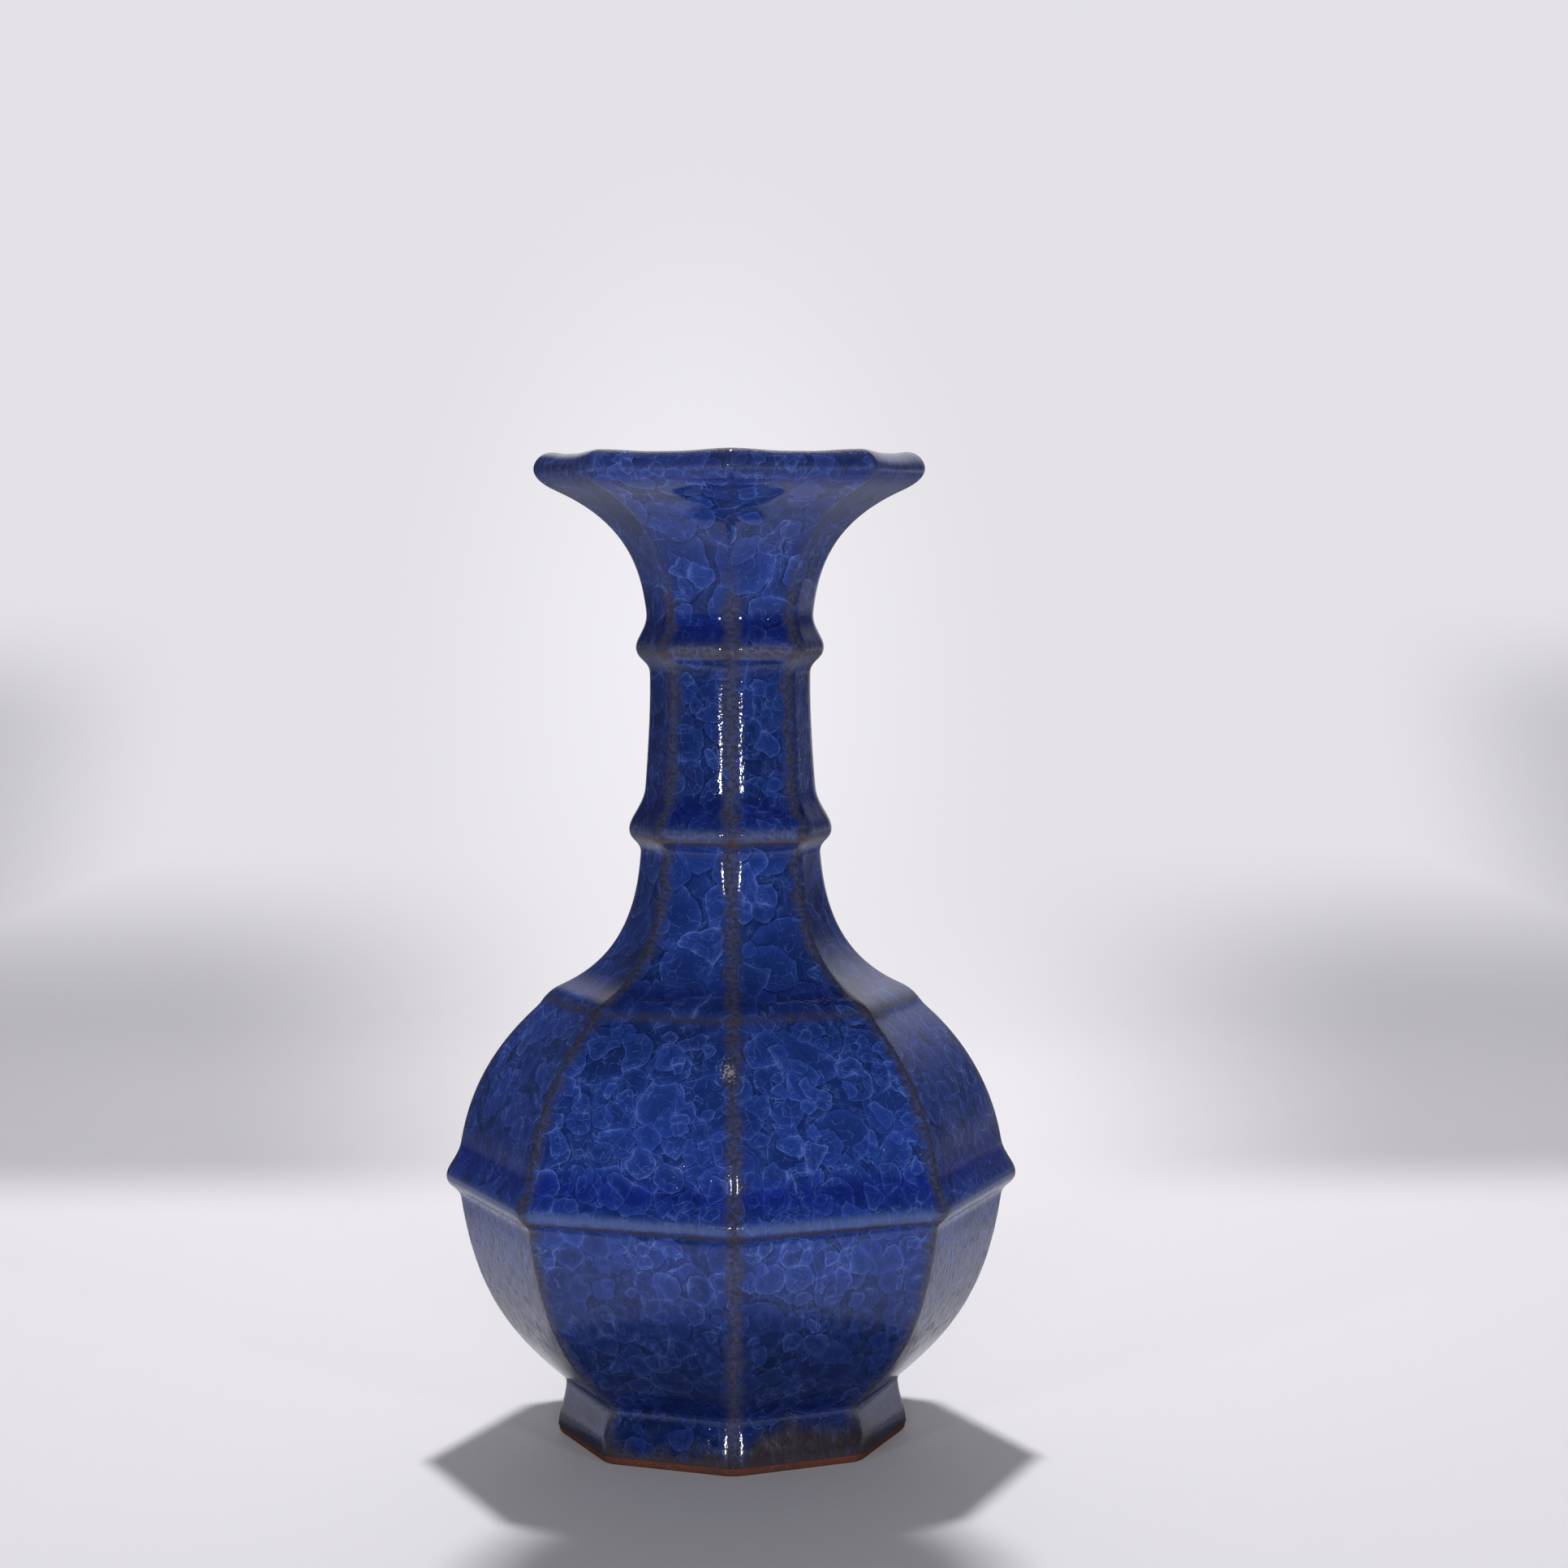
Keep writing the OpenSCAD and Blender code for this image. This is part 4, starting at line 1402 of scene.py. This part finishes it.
@dataclass(frozen=True)
class OuterGlaze:
    """The coat of glaze outside, from the bare edge of the foot to the top of the lip."""

    name: str = "outer_glaze_fine"
    longest_step: float = 2.4
    back_step: float = 7.0
    back_rib: float = 1.2
    dent_start: float = 4.0
    dent_full: float = 26.0
    lip_dip: Span = (296.0, 300.0)
    lip_share: float = 0.25  # share of the dents at the end of the dip, unless the top brings more
    top_start: float = 290.0
    top_full: float = 297.0
    soft_ribs: tuple[Stretch, ...] = (Stretch.up_to(8.0, 22.0, 5.0), Stretch(150.0, 185.0, 255.0, 285.0, 7.5))
    pale_noses: tuple[Stretch, ...] = (
        Stretch.around(VASE.belly_height - 0.3, 2.9, 0.95),
        Stretch.around(VASE.neck_height, 2.8, 0.95),
        Stretch.around(VASE.throat_height - 0.6, 3.4, 0.95),
        Stretch.around(VASE.lip_height - 0.6, 1.5, 0.4),
        Stretch.around(VASE.top_height - 0.1, 2.0, 1.0),
    )
    brown_lines: tuple[Stretch, ...] = (
        Stretch.around(VASE.belly_height - 2.9, 1.5, 0.75),
        Stretch.around(VASE.ridge_height + 2.3, 2.2, 0.60),
        Stretch.around(VASE.neck_height - 2.2, 1.7, 0.90),
        Stretch.around(VASE.throat_height - 1.8, 2.2, 0.45),
        Stretch.around(VASE.lip_height + 1.8, 3.0, 0.28),
        Stretch.around(VASE.top_height - 0.1, 0.9, 0.4),
    )
    pools: tuple[Stretch, ...] = (
        Stretch.around(VASE.foot_height + 2.9, 6.0, 0.5),
        Stretch.around(VASE.belly_height + 7.7, 7.5, 1.0),
        Stretch.around(VASE.shoulder_height + 1.6, 4.5, 0.7),
        Stretch.around(VASE.neck_height + 7.0, 6.5, 1.0),
        Stretch.around(VASE.throat_height + 6.3, 6.5, 1.0),
        Stretch.around(VASE.mouth_height + 3.0, 2.0, 0.6),
    )
    # painted shade by height: strong on the low bowl above the foot, which faces down, slight on the
    # shoulder, neck and mouth
    painted_shade_by_height: tuple[Stretch, ...] = (
        Stretch.up_to(36.0, 74.0, 0.55),
        Stretch(120.0, 140.0, 280.0, 300.0, 0.12),
        Stretch(180.0, 192.0, 244.0, 262.0, 0.19),
    )
    buried_ribs: Stretch = Stretch(250.0, 270.0, 301.0, 302.0, 0.75)
    crinkles: tuple[Stretch, ...] = (
        Stretch.up_to(74.0, 84.0, 0.6),
        Stretch(84.0, 96.0, 130.0, 150.0, 0.3),
        Stretch(176.0, 196.0, 232.0, 244.0, 1.0),
    )

    def rib_at(self, height: float) -> float:
        """Radius of the ribs at a height: crisp on the belly, softer on the foot, the neck and the mouth."""
        return VASE.rib + sum(stretch.at(height) for stretch in self.soft_ribs)

    def dented_at(self, height: float) -> float:
        """Share of the form's dents that the glaze takes on: none at the bare edge, a bit less on the lip.

        Args:
            height: Height in mm.

        Returns:
            The share.
        """
        dip_start, dip_end = self.lip_dip
        kept = self.lip_share + (1.0 - self.lip_share) * smooth_step(dip_end, dip_start, height)
        body = smooth_step(self.dent_start, self.dent_full, height) * kept
        return max(body, smooth_step(self.top_start, self.top_full, height))

    @staticmethod
    def summed(stretches: Sequence[Stretch]) -> Callable[[float], float]:
        """The strength of several stretches together by height, 1 at most."""
        return lambda height: min(1.0, sum(stretch.at(height) for stretch in stretches))

    def masks(self) -> dict[str, Callable[[float], float]]:
        """The values by height that the finish reads from the mesh, each from 0 to 1.

        Returns:
            How pale the noses of the ledges are, how far the clay shows in the lines under them, how thick
            the glaze lies in pools above them, how much painted shade darkens it, how far the clay shows on
            the ribs, and how crinkled the glaze is.
        """
        return {
            "pale": self.summed(self.pale_noses),
            "line": self.summed(self.brown_lines),
            "pool": self.summed(self.pools),
            # painted shade by height
            "painted_shade": self.summed(self.painted_shade_by_height),
            "worn": lambda height: 1.0 - self.buried_ribs.at(height),
            "rough": self.summed(self.crinkles),
        }

    def levels(self, outline: Outline) -> list[Level]:
        """Levels of the glazed surface and then of the back on the clay.

        Args:
            outline: Outline of the vase.

        Returns:
            The levels, as a ring.
        """
        front = []
        for point in outline.spread(outline.glaze_lines()[0], self.longest_step, outline.SOFTNESS):
            radius = self.rib_at(point.y)
            front.append(Level(reshaped(point.x, VASE.rib, radius), point.y, radius, self.dented_at(point.y)))
        back = [Level(point.x, point.y, self.back_rib)
                for point in outline.spread(outline.clay_outside(), self.back_step, 0.0)]
        return front + back[::-1]

    def build(self, outline: Outline, softness: Softness, finish: bpy.types.Material) -> bpy.types.Object:
        """Builds the piece.

        Args:
            outline: Outline of the vase.
            softness: Dents and sag of the form.
            finish: Its material.

        Returns:
            The object.
        """
        shell = PanelledShell(self.levels(outline), closed=True)
        mesh = shell.mesh(self.name, softness.shift, self.masks())
        return piece(self.name, mesh, finish, ["outer_glaze"])


@dataclass(frozen=True)
class InnerGlaze:
    """The coat of glaze inside, from the top of the lip down over the floor."""

    name: str = "inner_glaze_fine"
    longest_step: float = 4.0
    back_step: float = 9.0
    rib: float = 4.5
    rib_reach: float = 8.0  # how far inside the top of the lip the ribs get their own radius
    soft_start: float = 290.0
    soft_full: float = 297.0
    floor_rings: int = 6

    def levels(self, outline: Outline, outer_rib: float) -> list[Level]:
        """Levels of the glazed surface and then of the back on the clay.

        Args:
            outline: Outline of the vase.
            outer_rib: Radius of the ribs of the outer glaze at the top of the lip.

        Returns:
            The levels, from the middle of the glazed floor to the middle of its back.
        """
        packed = Outline(outline.sizes, fineness=1)
        line = [outline.glaze_lines()[0][-1], *packed.glaze_lines()[1][1:]]
        line = outline.spread(line, self.longest_step, outline.SOFTNESS)
        front = []
        for point in line:
            share = smooth_step(0.0, self.rib_reach, line[0].x - point.x)
            radius = outer_rib + share * (self.rib - outer_rib)
            flat = reshaped(point.x, outline.sizes.rib, radius) if share < 1 else point.x
            front.append(Level(flat, point.y, radius, smooth_step(self.soft_start, self.soft_full, point.y)))
        edge = front[-1]
        floor = [Level(edge.flat * k / self.floor_rings, edge.height, edge.rib * k / self.floor_rings)
                 for k in range(1, self.floor_rings)]
        back = [Level(point.x, point.y, 0.0)
                for point in outline.spread(packed.clay_inside(), self.back_step, 0.0)]
        return floor + front[::-1] + back + [Level(back[-1].flat / 2, back[-1].height, 0.0)]

    def build(self, outline: Outline, softness: Softness, outer_rib: float,
              finish: bpy.types.Material) -> bpy.types.Object:
        """Builds the piece.

        Args:
            outline: Outline of the vase.
            softness: Dents and sag of the form.
            outer_rib: Radius of the ribs of the outer glaze at the top of the lip.
            finish: Its material.

        Returns:
            The object.
        """
        shell = PanelledShell(self.levels(outline, outer_rib), closed=False)
        return piece(self.name, shell.mesh(self.name, softness.shift), finish, ["inner_glaze"])


@dataclass(frozen=True)
class Foot:
    """The clay foot with its bare edge and standing rim."""

    name: str = "foot_ring_fine"
    longest_step: float = 1.6
    inner_rib: float = 3.0
    soft_ribs: Stretch = Stretch.up_to(8.0, 22.0, 4.7)
    edge_lean: float = 45.0

    def build(self, outline: Outline, finish: bpy.types.Material) -> bpy.types.Object:
        """Builds the piece.

        Args:
            outline: Outline of the vase.
            finish: Its material.

        Returns:
            The object.
        """
        s = outline.sizes
        edge = outline.foot_edge
        ground = edge - Vector((s.foot_edge, s.bare_height))
        recess = s.foot_height - s.floor
        rim = Vector((edge.x - s.foot_rim, s.foot_edge))
        bare = outline.curve(ground, edge, self.edge_lean, 0, 0.4, 0.4, outline.SHORT)
        levels = []
        for point in outline.spread(bare + outline.foot_side[1:], self.longest_step, 0.0):
            radius = s.rib + self.soft_ribs.at(point.y)
            levels.append(Level(reshaped(point.x, s.rib, radius), point.y, radius))
        seat = (Vector((outline.seat_inner, s.foot_height)), Vector((outline.seat_inner, recess)))
        levels += [Level(point.x, point.y, 0.0) for point in seat]
        rim_foot = Vector((rim.x + s.foot_edge, 0.0))
        levels += [Level(point.x, point.y, self.inner_rib) for point in (rim, rim_foot)]
        mesh = PanelledShell(levels, closed=True).mesh(self.name)
        return piece(self.name, mesh, finish, ["foot_ring"])


@dataclass(frozen=True)
class PackedSections:
    """The sections and strips under the glaze, the floor slab and its coat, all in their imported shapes."""

    clay: tuple[str, ...] = ("base_floor", "lower_belly", "upper_belly", "shoulder", "neck", "mouth", "lip",
                             "belly_fillet", "lower_neck_fillet", "upper_neck_fillet")
    coated: tuple[str, ...] = ("base_glaze",)

    def dress(self, nodes: dict[str, bpy.types.Object], clay: bpy.types.Material,
              coat: bpy.types.Material) -> None:
        """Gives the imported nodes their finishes.

        Args:
            nodes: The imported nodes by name.
            clay: Finish of the clay.
            coat: Finish of the coat under the floor.
        """
        for names, finish, slot in ((self.clay, clay, Slot.CLAY), (self.coated, coat, Slot.GLAZE)):
            for name in names:
                node = nodes[name]
                node.data.materials.clear()
                node.data.materials.append(finish)
                log.info("%s: packed section in %s", name, finish.name)


# Studio


@dataclass(frozen=True)
class Lamp:
    """One area lamp: where it hangs, what it looks at and its size, all in metres, and its power in watts."""

    name: str
    place: Triple
    aim: Triple
    width: float
    height: float
    power: float
    in_gloss: bool = True

    def hang(self) -> bpy.types.Object:
        """Adds the lamp to the scene.

        Returns:
            The lamp's object.
        """
        data = bpy.data.lights.new(self.name, "AREA")
        data.shape = "RECTANGLE"
        data.size, data.size_y = self.width, self.height
        data.energy = self.power
        lamp = bpy.data.objects.new(self.name, data)
        lamp.visible_glossy = self.in_gloss
        lamp.location = self.place
        lamp.rotation_euler = (Vector(self.aim) - Vector(self.place)).to_track_quat("-Z", "Y").to_euler()
        bpy.context.scene.collection.objects.link(lamp)
        return lamp


class PaperGround:
    """The places in mm and the kinds of ray that the steps of the studio paper share."""

    def __init__(self, bench: Bench) -> None:
        """Adds their nodes.

        Args:
            bench: Bench of the material.
        """
        self.place = bench.place()
        parts = bench.parts(self.place)
        self.x, self.y, self.z = parts["X"], parts["Y"], parts["Z"]
        self.wide = bench.math("ABSOLUTE", self.x)
        self.from_foot = bench.length(bench.stretched(self.place, (1.0, 1.0, 0.0)))
        path = bench.node("ShaderNodeLightPath").outputs
        self.camera = path["Is Camera Ray"]
        self.glossy = path["Is Glossy Ray"]
        self.transmission = path["Is Transmission Ray"]
        self.shadow = path["Is Shadow Ray"]


@dataclass(frozen=True)
class StudioPaper:
    """Matte pale paper of the floor and the backdrop. Its places are in mm from the middle of the foot.

    Its upright and far parts show their plain colour, which has a painted soft shade low at either side, a
    painted paler glow in the middle and, in reflections, painted shade at its two ends. The glaze reflects it
    less with distance, and less just beside the foot. From below, the paper is looked through.
    """

    name: str = "studio_paper"
    roughness: float = 0.75
    paper: Colour = (0.80, 0.785, 0.82)
    paper_cloud: Colour = (0.70, 0.69, 0.72)
    cloud_size: float = 300.0
    backdrop: Colour = (0.77, 0.755, 0.795)
    # painted shade at the two ends of the backdrop, for reflections and not for the camera
    backdrop_end_shade: Colour = (0.050, 0.049, 0.053)
    # painted light: a paler glow on the backdrop behind the neck, which the camera alone sees
    backdrop_glow: Colour = (0.88, 0.865, 0.90)
    glow_at: Triple = (-10.0, 0.0, 190.0)
    glow_stretch: Triple = (1.0, 0.0, 0.6)
    glow: Fade = Fade(240.0, 0.0)
    glow_back: Fade = Fade(600.0, 1000.0)
    edge_left: Fade = Fade(-250.0, -750.0)
    edge_right: Fade = Fade(600.0, 1350.0)
    shade_back: Fade = Fade(330.0, 470.0, 0.0, 0.40)
    shade_middle: float = 45.0
    shade_spread: float = 0.00042
    shade_narrow: float = 0.43
    shade_inner: Fade = Fade(110.0, 440.0)
    shade_outer: Fade = Fade(1100.0, 650.0)
    shade_top: Fade = Fade(80.0, -5.0)
    tall_inner: Fade = Fade(390.0, 540.0, 0.0, 0.7)
    tall_top: Fade = Fade(235.0, 140.0)
    gloss_front: Fade = Fade(-90.0, -300.0, 0.25, 0.74)
    gloss_back: Fade = Fade(180.0, 520.0, 0.0, 0.80)
    gloss_side: Fade = Fade(135.0, 240.0, 0.0, 0.55)
    gloss_near: Fade = Fade(125.0, 95.0, 0.0, 0.70)
    gloss_near_back: Fade = Fade(60.0, 35.0)
    upright: Fade = Fade(0.5, 90.0)
    far: Fade = Fade(650.0, 1150.0)
    window_flat: float = 48.0

    def material(self) -> bpy.types.Material:
        """Makes the material.

        Returns:
            The material.
        """
        material, bench, shader = new_material(self.name)
        ground = PaperGround(bench)
        shade = self.shade(bench, ground)
        dimmed = bench.greatest(bench.product(ground.glossy, self.gloss_loss(bench, ground)), shade)
        cloud = bench.ease(bench.noise(ground.place, self.cloud_size), 0.3, 0.7, 0.0, 0.05)
        paper = bench.mix(cloud, self.paper, self.paper_cloud)
        shader.inputs["Roughness"].default_value = self.roughness
        bench.feed(bench.mix(dimmed, paper, BLACK), shader.inputs["Base Color"])
        colour = self.plain_colour(bench, ground, shade)
        plain = bench.node("ShaderNodeEmission", {"Color": colour, "Strength": 1.0})
        sheet = bench.node("ShaderNodeMixShader", {
            0: self.plain_share(bench, ground), 1: shader.outputs[0], 2: plain.outputs[0]})
        facing = bench.node("ShaderNodeNewGeometry").outputs["Backfacing"]
        below = bench.greatest(bench.product(facing, ground.camera), self.window(bench, ground))
        clear = bench.node("ShaderNodeBsdfTransparent")
        mixed = bench.node("ShaderNodeMixShader", {0: below, 1: sheet.outputs[0], 2: clear.outputs[0]})
        bench.feed(mixed.outputs[0], material.node_tree.nodes["Material Output"].inputs["Surface"])
        return material

    def shade(self, bench: Bench, ground: PaperGround) -> Socket:
        """The soft shade at either side, which fans out towards the back and stands taller at its outer end.

        Args:
            bench: Bench of the material.
            ground: Places and rays of the paper.

        Returns:
            How dark it is, from 0 to 1.
        """
        off_middle = bench.math("ABSOLUTE", bench.math("SUBTRACT", ground.x, self.shade_middle))
        fan = bench.math("DIVIDE", off_middle, bench.sloped(ground.y, self.shade_spread, self.shade_narrow))
        aside = bench.product(bench.ease(fan, *self.shade_inner), bench.ease(ground.wide, *self.shade_outer))
        tall = bench.product(bench.ease(off_middle, *self.tall_inner), bench.ease(ground.z, *self.tall_top))
        return bench.product(bench.ease(ground.y, *self.shade_back), aside,
                             bench.greatest(bench.ease(ground.z, *self.shade_top), tall))

    def gloss_loss(self, bench: Bench, ground: PaperGround) -> Socket:
        """How much less the glaze reflects the floor in front, behind, at the sides and just beside the foot.

        Args:
            bench: Bench of the material.
            ground: Places and rays of the paper.

        Returns:
            The loss, from 0 to 1.
        """
        near = bench.product(bench.ease(ground.from_foot, *self.gloss_near),
                             bench.ease(ground.y, *self.gloss_near_back))
        return bench.greatest(bench.ease(ground.y, *self.gloss_front), bench.ease(ground.y, *self.gloss_back),
                              bench.ease(ground.wide, *self.gloss_side), near)

    def plain_colour(self, bench: Bench, ground: PaperGround, shade: Socket) -> Socket:
        """Plain colour of the backdrop: painted glow behind the neck for the camera, painted shade at the
        ends otherwise.

        Args:
            bench: Bench of the material.
            ground: Places and rays of the paper.
            shade: How dark the soft shade is.

        Returns:
            The colour.
        """
        # painted light: the paler glow behind the neck, for the camera
        behind = bench.stretched(bench.vector("SUBTRACT", ground.place, self.glow_at), self.glow_stretch)
        glow = bench.product(bench.ease(bench.length(behind), *self.glow), ground.camera,
                             bench.ease(ground.y, *self.glow_back))
        # painted shade at the two ends, for rays other than the camera's
        ends = bench.greatest(bench.ease(ground.x, *self.edge_left), bench.ease(ground.x, *self.edge_right))
        ends = bench.product(ends, bench.math("SUBTRACT", 1.0, ground.camera))
        lit = bench.mix(ends, bench.mix(glow, self.backdrop, self.backdrop_glow), self.backdrop_end_shade)
        return bench.mix(shade, lit, BLACK)

    def plain_share(self, bench: Bench, ground: PaperGround) -> Socket:
        """How far the paper shows its plain colour: its upright part to all looks, its far part to a camera.

        Args:
            bench: Bench of the material.
            ground: Places and rays of the paper.

        Returns:
            The share, from 0 to 1.
        """
        seen = bench.greatest(ground.camera, ground.glossy, ground.transmission)
        upright = bench.product(seen, bench.ease(ground.z, *self.upright))
        return bench.greatest(upright, bench.product(ground.camera, bench.ease(ground.from_foot, *self.far)))

    def window(self, bench: Bench, ground: PaperGround) -> Socket:
        """Where light from below passes the floor: eight-sided, and hidden under the foot.

        Args:
            bench: Bench of the material.
            ground: Places and rays of the paper.

        Returns:
            1 inside the window for a ray that tests the way to a lamp, and 0 for others.
        """
        offsets = []
        for pair in range(PANELS // 2):
            angle = HALF_PANEL * (2 * pair + 1)
            facing = bench.vector("DOT_PRODUCT", ground.place, (math.cos(angle), math.sin(angle), 0.0),
                                  output="Value")
            offsets.append(bench.math("ABSOLUTE", facing))
        inside = bench.math("LESS_THAN", bench.greatest(*offsets), self.window_flat)
        return bench.product(ground.shadow, inside)


@dataclass(frozen=True)
class Studio:
    """A pale sweep of floor and backdrop, the lamps and the dim room around them, in metres."""

    half_width: float = 1.8
    front: float = -1.25
    wall: float = 1.35
    bend: float = 0.5
    bend_steps: int = 24
    top: float = 2.3
    paper: StudioPaper = StudioPaper()
    room: Colour = (0.07, 0.07, 0.07)
    room_gloss: Colour = (0.02, 0.02, 0.02)
    # a high lamp from behind, two small ones in front, a soft fill, and one that lights the recess from below
    lamps: tuple[Lamp, ...] = (
        Lamp("high_back", (0.0, 0.69, 1.75), (0.0, 0.0, 0.1), 0.14, 0.14, 26.0),
        Lamp("front_left", (-0.96, -1.33, 0.33), (0.0, 0.0, 0.15), 0.08, 0.08, 3.8),
        Lamp("front_right", (0.93, -1.35, 0.33), (0.0, 0.0, 0.15), 0.08, 0.08, 3.8),
        Lamp("front_fill", (0.0, -2.2, 0.33), (0.0, 0.0, 0.15), 1.4, 0.5, 30.5, in_gloss=False),
        Lamp("underside", (0.1, -0.25, -0.55), (0.0, 0.0, 0.0), 0.3, 0.3, 4.0),
    )

    def sweep(self) -> bpy.types.Object:
        """Makes the floor and backdrop as one bent sheet: an edge, drawn back, turned up and drawn up.

        Returns:
            The sheet's object.
        """
        bm = bmesh.new()
        corners = [bm.verts.new((x, self.front, 0)) for x in (-self.half_width, self.half_width)]
        floor_end = self.drawn(bm, [bm.edges.new(corners)], (0, self.wall - self.bend - self.front, 0))
        bent = bmesh.ops.spin(bm, geom=floor_end, cent=(0, self.wall - self.bend, self.bend), axis=(1, 0, 0),
                              angle=math.pi / 2, steps=self.bend_steps)["geom_last"]
        self.drawn(bm, [part for part in bent if isinstance(part, bmesh.types.BMEdge)],
                   (0, 0, self.top - self.bend))
        bmesh.ops.recalc_face_normals(bm, faces=bm.faces[:])
        if sum(face.normal.z for face in bm.faces) < 0:
            bmesh.ops.reverse_faces(bm, faces=bm.faces[:])
        for face in bm.faces:
            face.smooth = True
        mesh = bpy.data.meshes.new("sweep")
        bm.to_mesh(mesh)
        bm.free()
        mesh.materials.append(self.paper.material())
        made = bpy.data.objects.new("sweep", mesh)
        bpy.context.scene.collection.objects.link(made)
        return made

    @staticmethod
    def drawn(bm: bmesh.types.BMesh, edges: Sequence[bmesh.types.BMEdge],
              way: Triple) -> list[bmesh.types.BMEdge]:
        """Draws edges out into faces.

        Args:
            bm: The mesh.
            edges: The edges to start from.
            way: How far they are drawn, in metres.

        Returns:
            The edges at the far end.
        """
        made = bmesh.ops.extrude_edge_only(bm, edges=edges)["geom"]
        verts = {part for part in made if isinstance(part, bmesh.types.BMVert)}
        bmesh.ops.translate(bm, vec=way, verts=list(verts))
        new_edges = [part for part in made if isinstance(part, bmesh.types.BMEdge)]
        return [edge for edge in new_edges if verts.issuperset(edge.verts)]

    def room_light(self) -> None:
        """Sets the world: a dim room, which the camera sees as pale as the backdrop."""
        world = bpy.data.worlds.new("room")
        world.use_nodes = True
        bpy.context.scene.world = world
        bench = Bench(world.node_tree)
        path = bench.node("ShaderNodeLightPath").outputs
        dim = bench.mix(path["Is Glossy Ray"], self.room, self.room_gloss)
        seen = bench.mix(path["Is Camera Ray"], dim, self.paper.backdrop)
        bench.feed(seen, world.node_tree.nodes["Background"].inputs["Color"])

    def build(self) -> None:
        """Builds the sweep, hangs the lamps and sets the world."""
        self.sweep()
        for lamp in self.lamps:
            lamp.hang()
        self.room_light()


@dataclass(frozen=True)
class MainCamera:
    """The camera of the photograph's view: its place in metres, its turns in degrees and its lens in mm."""

    name: str = "main_camera"
    place: Triple = (-0.00836, -1.0239, 0.2754)
    turn: float = -1.38
    pitch: float = -4.239
    roll: float = -0.117
    lens: float = 77.52
    sensor: float = 36.0
    nearest: float = 0.05
    farthest: float = 20.0

    def set_up(self) -> None:
        """Adds the camera and makes it the scene's own."""
        data = bpy.data.cameras.new(self.name)
        data.lens, data.sensor_width = self.lens, self.sensor
        data.clip_start, data.clip_end = self.nearest, self.farthest
        camera = bpy.data.objects.new(self.name, data)
        camera.location = self.place
        rolled = Euler((0, 0, math.radians(self.roll))).to_matrix()
        pitched = Euler((math.radians(90 + self.pitch), 0, 0)).to_matrix()
        turned = Euler((0, 0, math.radians(self.turn))).to_matrix()
        camera.rotation_euler = (turned @ pitched @ rolled).to_euler()
        bpy.context.scene.collection.objects.link(camera)
        bpy.context.scene.camera = camera


def main() -> None:
    """Builds the dressed vase, its studio and its camera."""
    logging.basicConfig(level=logging.INFO, format="%(message)s")
    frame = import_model()
    bpy.context.scene.view_settings.view_transform = "Standard"
    MainCamera().set_up()
    effects = Effects()
    clay = FiredClay().material(effects)
    outline = Outline(VASE)
    softness = Softness()
    outer = OuterGlaze()
    PackedSections().dress(frame["nodes"], clay, UndersideCoat().material(effects))
    Foot().build(outline, clay)
    outer.build(outline, softness, CrackleGlaze().material(effects, outside=True))
    InnerGlaze().build(outline, softness, outer.rib_at(VASE.top_height),
                       CrackleGlaze().material(effects, outside=False))
    Studio().build()


if __name__ == "__main__":
    main()
